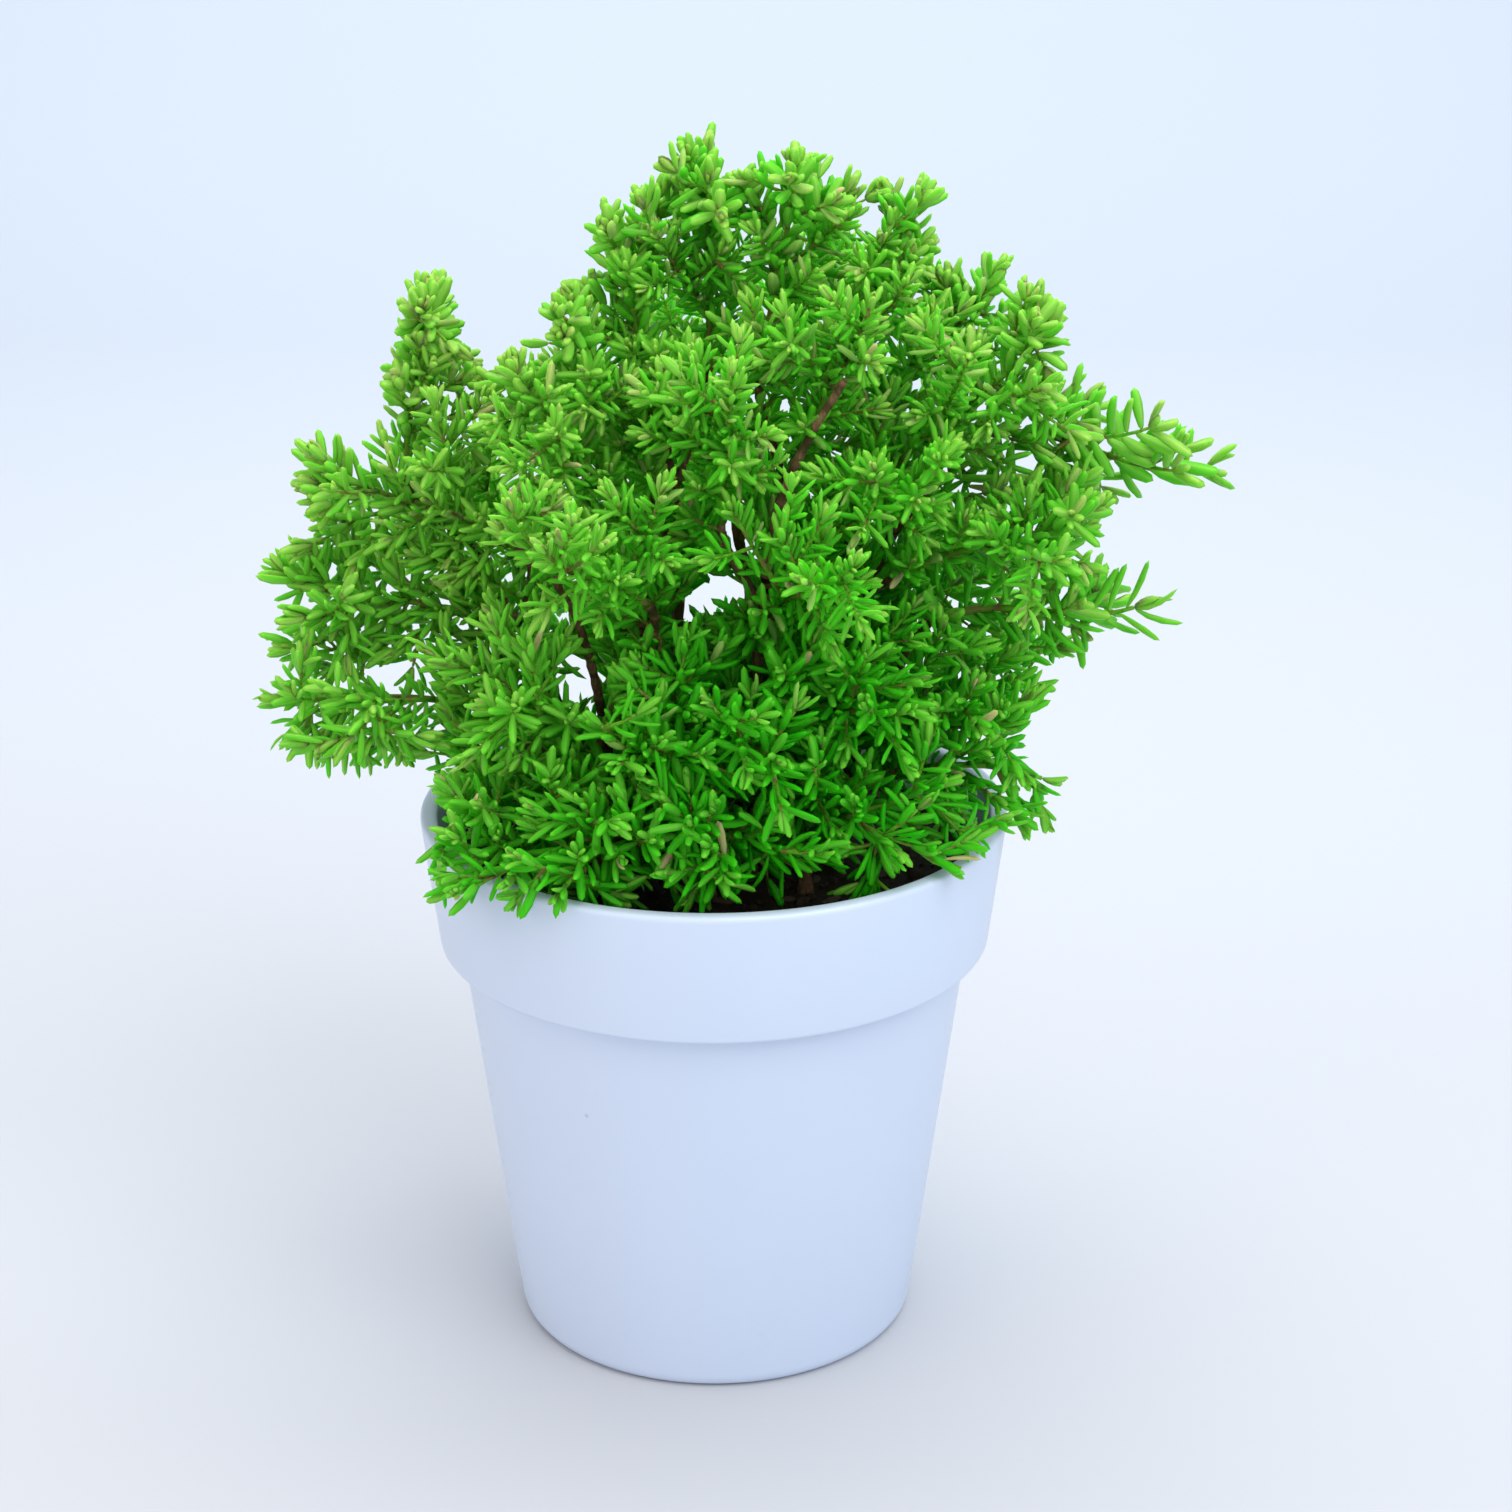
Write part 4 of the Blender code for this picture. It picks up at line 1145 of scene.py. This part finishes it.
leafColours = dict(
    deep=(0.001, 0.320, 0.000), green=(0.030, 0.600, 0.001), fresh=(0.275, 0.575, 0.058),
    heart=(0.440, 0.630, 0.165), stalk=(0.11, 0.35, 0.02), stalkOld=(0.21, 0.16, 0.05),
    dry=(0.50, 0.40, 0.21), grainDepth=0.00006,
)


def leafPaint():
    fixed = {
        "Specular IOR Level": 0.17, "Specular Tint": (0.75, 1.0, 0.35, 1.0),
        "Subsurface Weight": 0.7, "Subsurface Radius": (0.5, 1.0, 0.2), "Subsurface Scale": 0.003,
    }
    paint = Paint("needleLeaves", leafColours["deep"], fixed)
    tone, youthAndPaintedLight = paint.attribute("leafTone"), paint.attribute("leafYouthAndPaintedLight")
    along, rim = paint.attribute("leafAlong"), paint.attribute("leafRim")
    mottle = paint.noise(420.0, 3.0, 0.6)
    specks = paint.noise(3200.0, 2.0)
    # tone and young paleness carry painted shade inside and under the crown and painted light high up and
    # at the sides, as well as the leaves' own tone and their younger tips
    paint.cover(tone * 0.8 + mottle * 0.3, leafColours["green"])
    paint.cover(youthAndPaintedLight * 0.75 + tone * 0.15, leafColours["fresh"])
    # paler down the middle of the face and towards the foot, where light comes through
    middle = (1 - rim) * (0.01 + 0.08 * mottle + 0.60 * youthAndPaintedLight)
    paint.cover(middle + (1 - along) ** 4 * (0.05 + 0.45 * youthAndPaintedLight), leafColours["heart"])
    # painted shade: darker along each leaf's edges, where its round surface turns from the light
    paint.cover(rim * 0.46, leafColours["deep"])
    paint.cover(paint.attribute("leafDry") * 0.9, leafColours["dry"])
    stalk = paint.attribute("stalk")
    patches = paint.fade(paint.noise(300.0), 0.36, 0.52)
    paint.cover(stalk, paint.blend(patches, leafColours["stalkOld"], leafColours["stalk"]))
    roughness = 0.38 + specks * 0.14 + stalk * 0.2
    return paint.finish(roughness, specks + mottle * 2.0, leafColours["grainDepth"], 0.5)


# The room for the picture

studio = dict(
    floor=(0.56, 0.575, 0.605), wall=(0.585, 0.640, 0.710), paleFrom=0.1, paleTo=1.3,
    reach=3.0, depth=1.0, sweep=0.8, steps=12, sky=(0.88, 0.93, 1.0), skyStrength=0.80,
    down=20.36, lens=74.05,
)

# name: place, aim, size, watts, colour
lamps = dict(
    keyLight=((0.50, -0.75, 1.05), (0.0, 0.0, 0.16), 0.9, 8.2, (0.99, 0.99, 0.98)),
    fillLight=((-0.85, -0.55, 0.55), (0.0, 0.0, 0.14), 0.9, 2.2, (1.0, 0.71, 0.48)),
    topLight=((0.05, 0.10, 1.15), (0.0, 0.0, 0.18), 0.9, 4.6, (1.0, 1.0, 1.0)),
    wallLight=((0.0, 0.6, 1.6), (0.0, 1.8, 0.5), 1.4, 16.0, (0.94, 0.97, 1.0)),
)


def makeStudio():
    # a pale floor that sweeps up into a pale wall behind
    reach, depth, sweep, steps = [studio[key] for key in ("reach", "depth", "sweep", "steps")]
    profile = [(-reach, 0.0)]
    for i in range(steps + 1):
        angle = math.radians(90) * i / steps
        profile.append((depth + sweep * math.sin(angle), sweep * (1 - math.cos(angle))))
    profile.append((depth + sweep, reach))
    bm = bmesh.new()
    verts = [bm.verts.new((-reach, y, z)) for y, z in profile]
    edges = [bm.edges.new(pair) for pair in zip(verts, verts[1:])]
    made = bmesh.ops.extrude_edge_only(bm, edges=edges)["geom"]
    sideVerts = [part for part in made if isinstance(part, bmesh.types.BMVert)]
    bmesh.ops.translate(bm, verts=sideVerts, vec=(2 * reach, 0.0, 0.0))
    mesh = meshFrom(bm, "studioFloor")
    mesh.shade_smooth()
    paint = Paint("studioFloor", studio["floor"], {"Roughness": 0.75, "Specular IOR Level": 0.2})
    paint.cover(paint.fade(paint.axis("Y"), studio["paleFrom"], studio["paleTo"]), studio["wall"])
    paint.plug(paint.shader.inputs["Base Color"], paint.body)
    mesh.materials.append(paint.material)
    added("studioFloor", mesh)


def makeLights():
    for name, (place, aim, size, watts, glow) in lamps.items():
        data = bpy.data.lights.new(name, "AREA")
        data.size = size
        data.energy = watts
        data.color = glow
        lamp = added(name, data)
        lamp.location = place
        lamp.rotation_euler = (Vector(aim) - Vector(place)).to_track_quat("-Z", "Y").to_euler()
    world = bpy.data.worlds.new("paleSky")
    world.use_nodes = True
    sky = world.node_tree.nodes["Background"]
    sky.inputs["Color"].default_value = (*studio["sky"], 1.0)
    sky.inputs["Strength"].default_value = studio["skyStrength"]
    bpy.context.scene.world = world


def makeCamera():
    data = bpy.data.cameras.new("camera")
    data.lens = studio["lens"]
    data.sensor_width = 36.0
    camera = added("camera", data)
    camera.location = viewpoint
    camera.rotation_euler = (math.radians(90 - studio["down"]), 0.0, 0.0)
    bpy.context.scene.camera = camera


def main():
    makeCamera()
    makeStudio()
    makeLights()
    bpy.context.scene.view_settings.view_transform = "Standard"
    print("studio")
    makePot()
    peat = soilPaint()
    makeSoil(peat)
    makeCrumbs(peat)
    ends, feet, twigs, sprays, taken = plantLines()
    bark = woodPaint()
    for stem in feet:
        makeStem(stem, feet[stem], [twig for other, twig in twigs.values() if other == stem], bark)
    makeBareBranches(bark)
    shown = [point for name in bareBranches for point in finely(bareLine(name))]
    bare = (treeOf([seenPlace(point) for point in shown]), [point.y for point in shown])
    print("stems", len(feet))
    green = leafPaint()
    bent = list(zip(leaf["bends"], leaf["skews"]))
    shapes = [[leafShape(*each, *detail) for each in bent] for detail in leaf["detail"]]
    rng = random.Random(leaf["seed"])
    kit = (shapes, bare, rng)
    grown = {}
    for name, lines in sprays.items():
        grown[name] = growSpray(name, ends[name], lines, twigs[name][1], taken, rng)
    inner = {stem: growInner(stem, feet[stem], taken, rng) for stem in feet}
    fillThin(grown, rng)
    made = 0
    for name, lines in grown.items():
        openness = openSprays.get(name, 0.0)
        made += leafyPiece("leafySpray_" + name, lines, openness, kit, green, "spray_" + name)
    for stem, lines in inner.items():
        made += leafyPiece("innerShoots_" + stem, lines, 0.0, kit, green)
    for mesh, _ in shapes[0] + shapes[1]:
        bpy.data.meshes.remove(mesh)
    print("sprays", len(sprays), "leaves", made)


main()
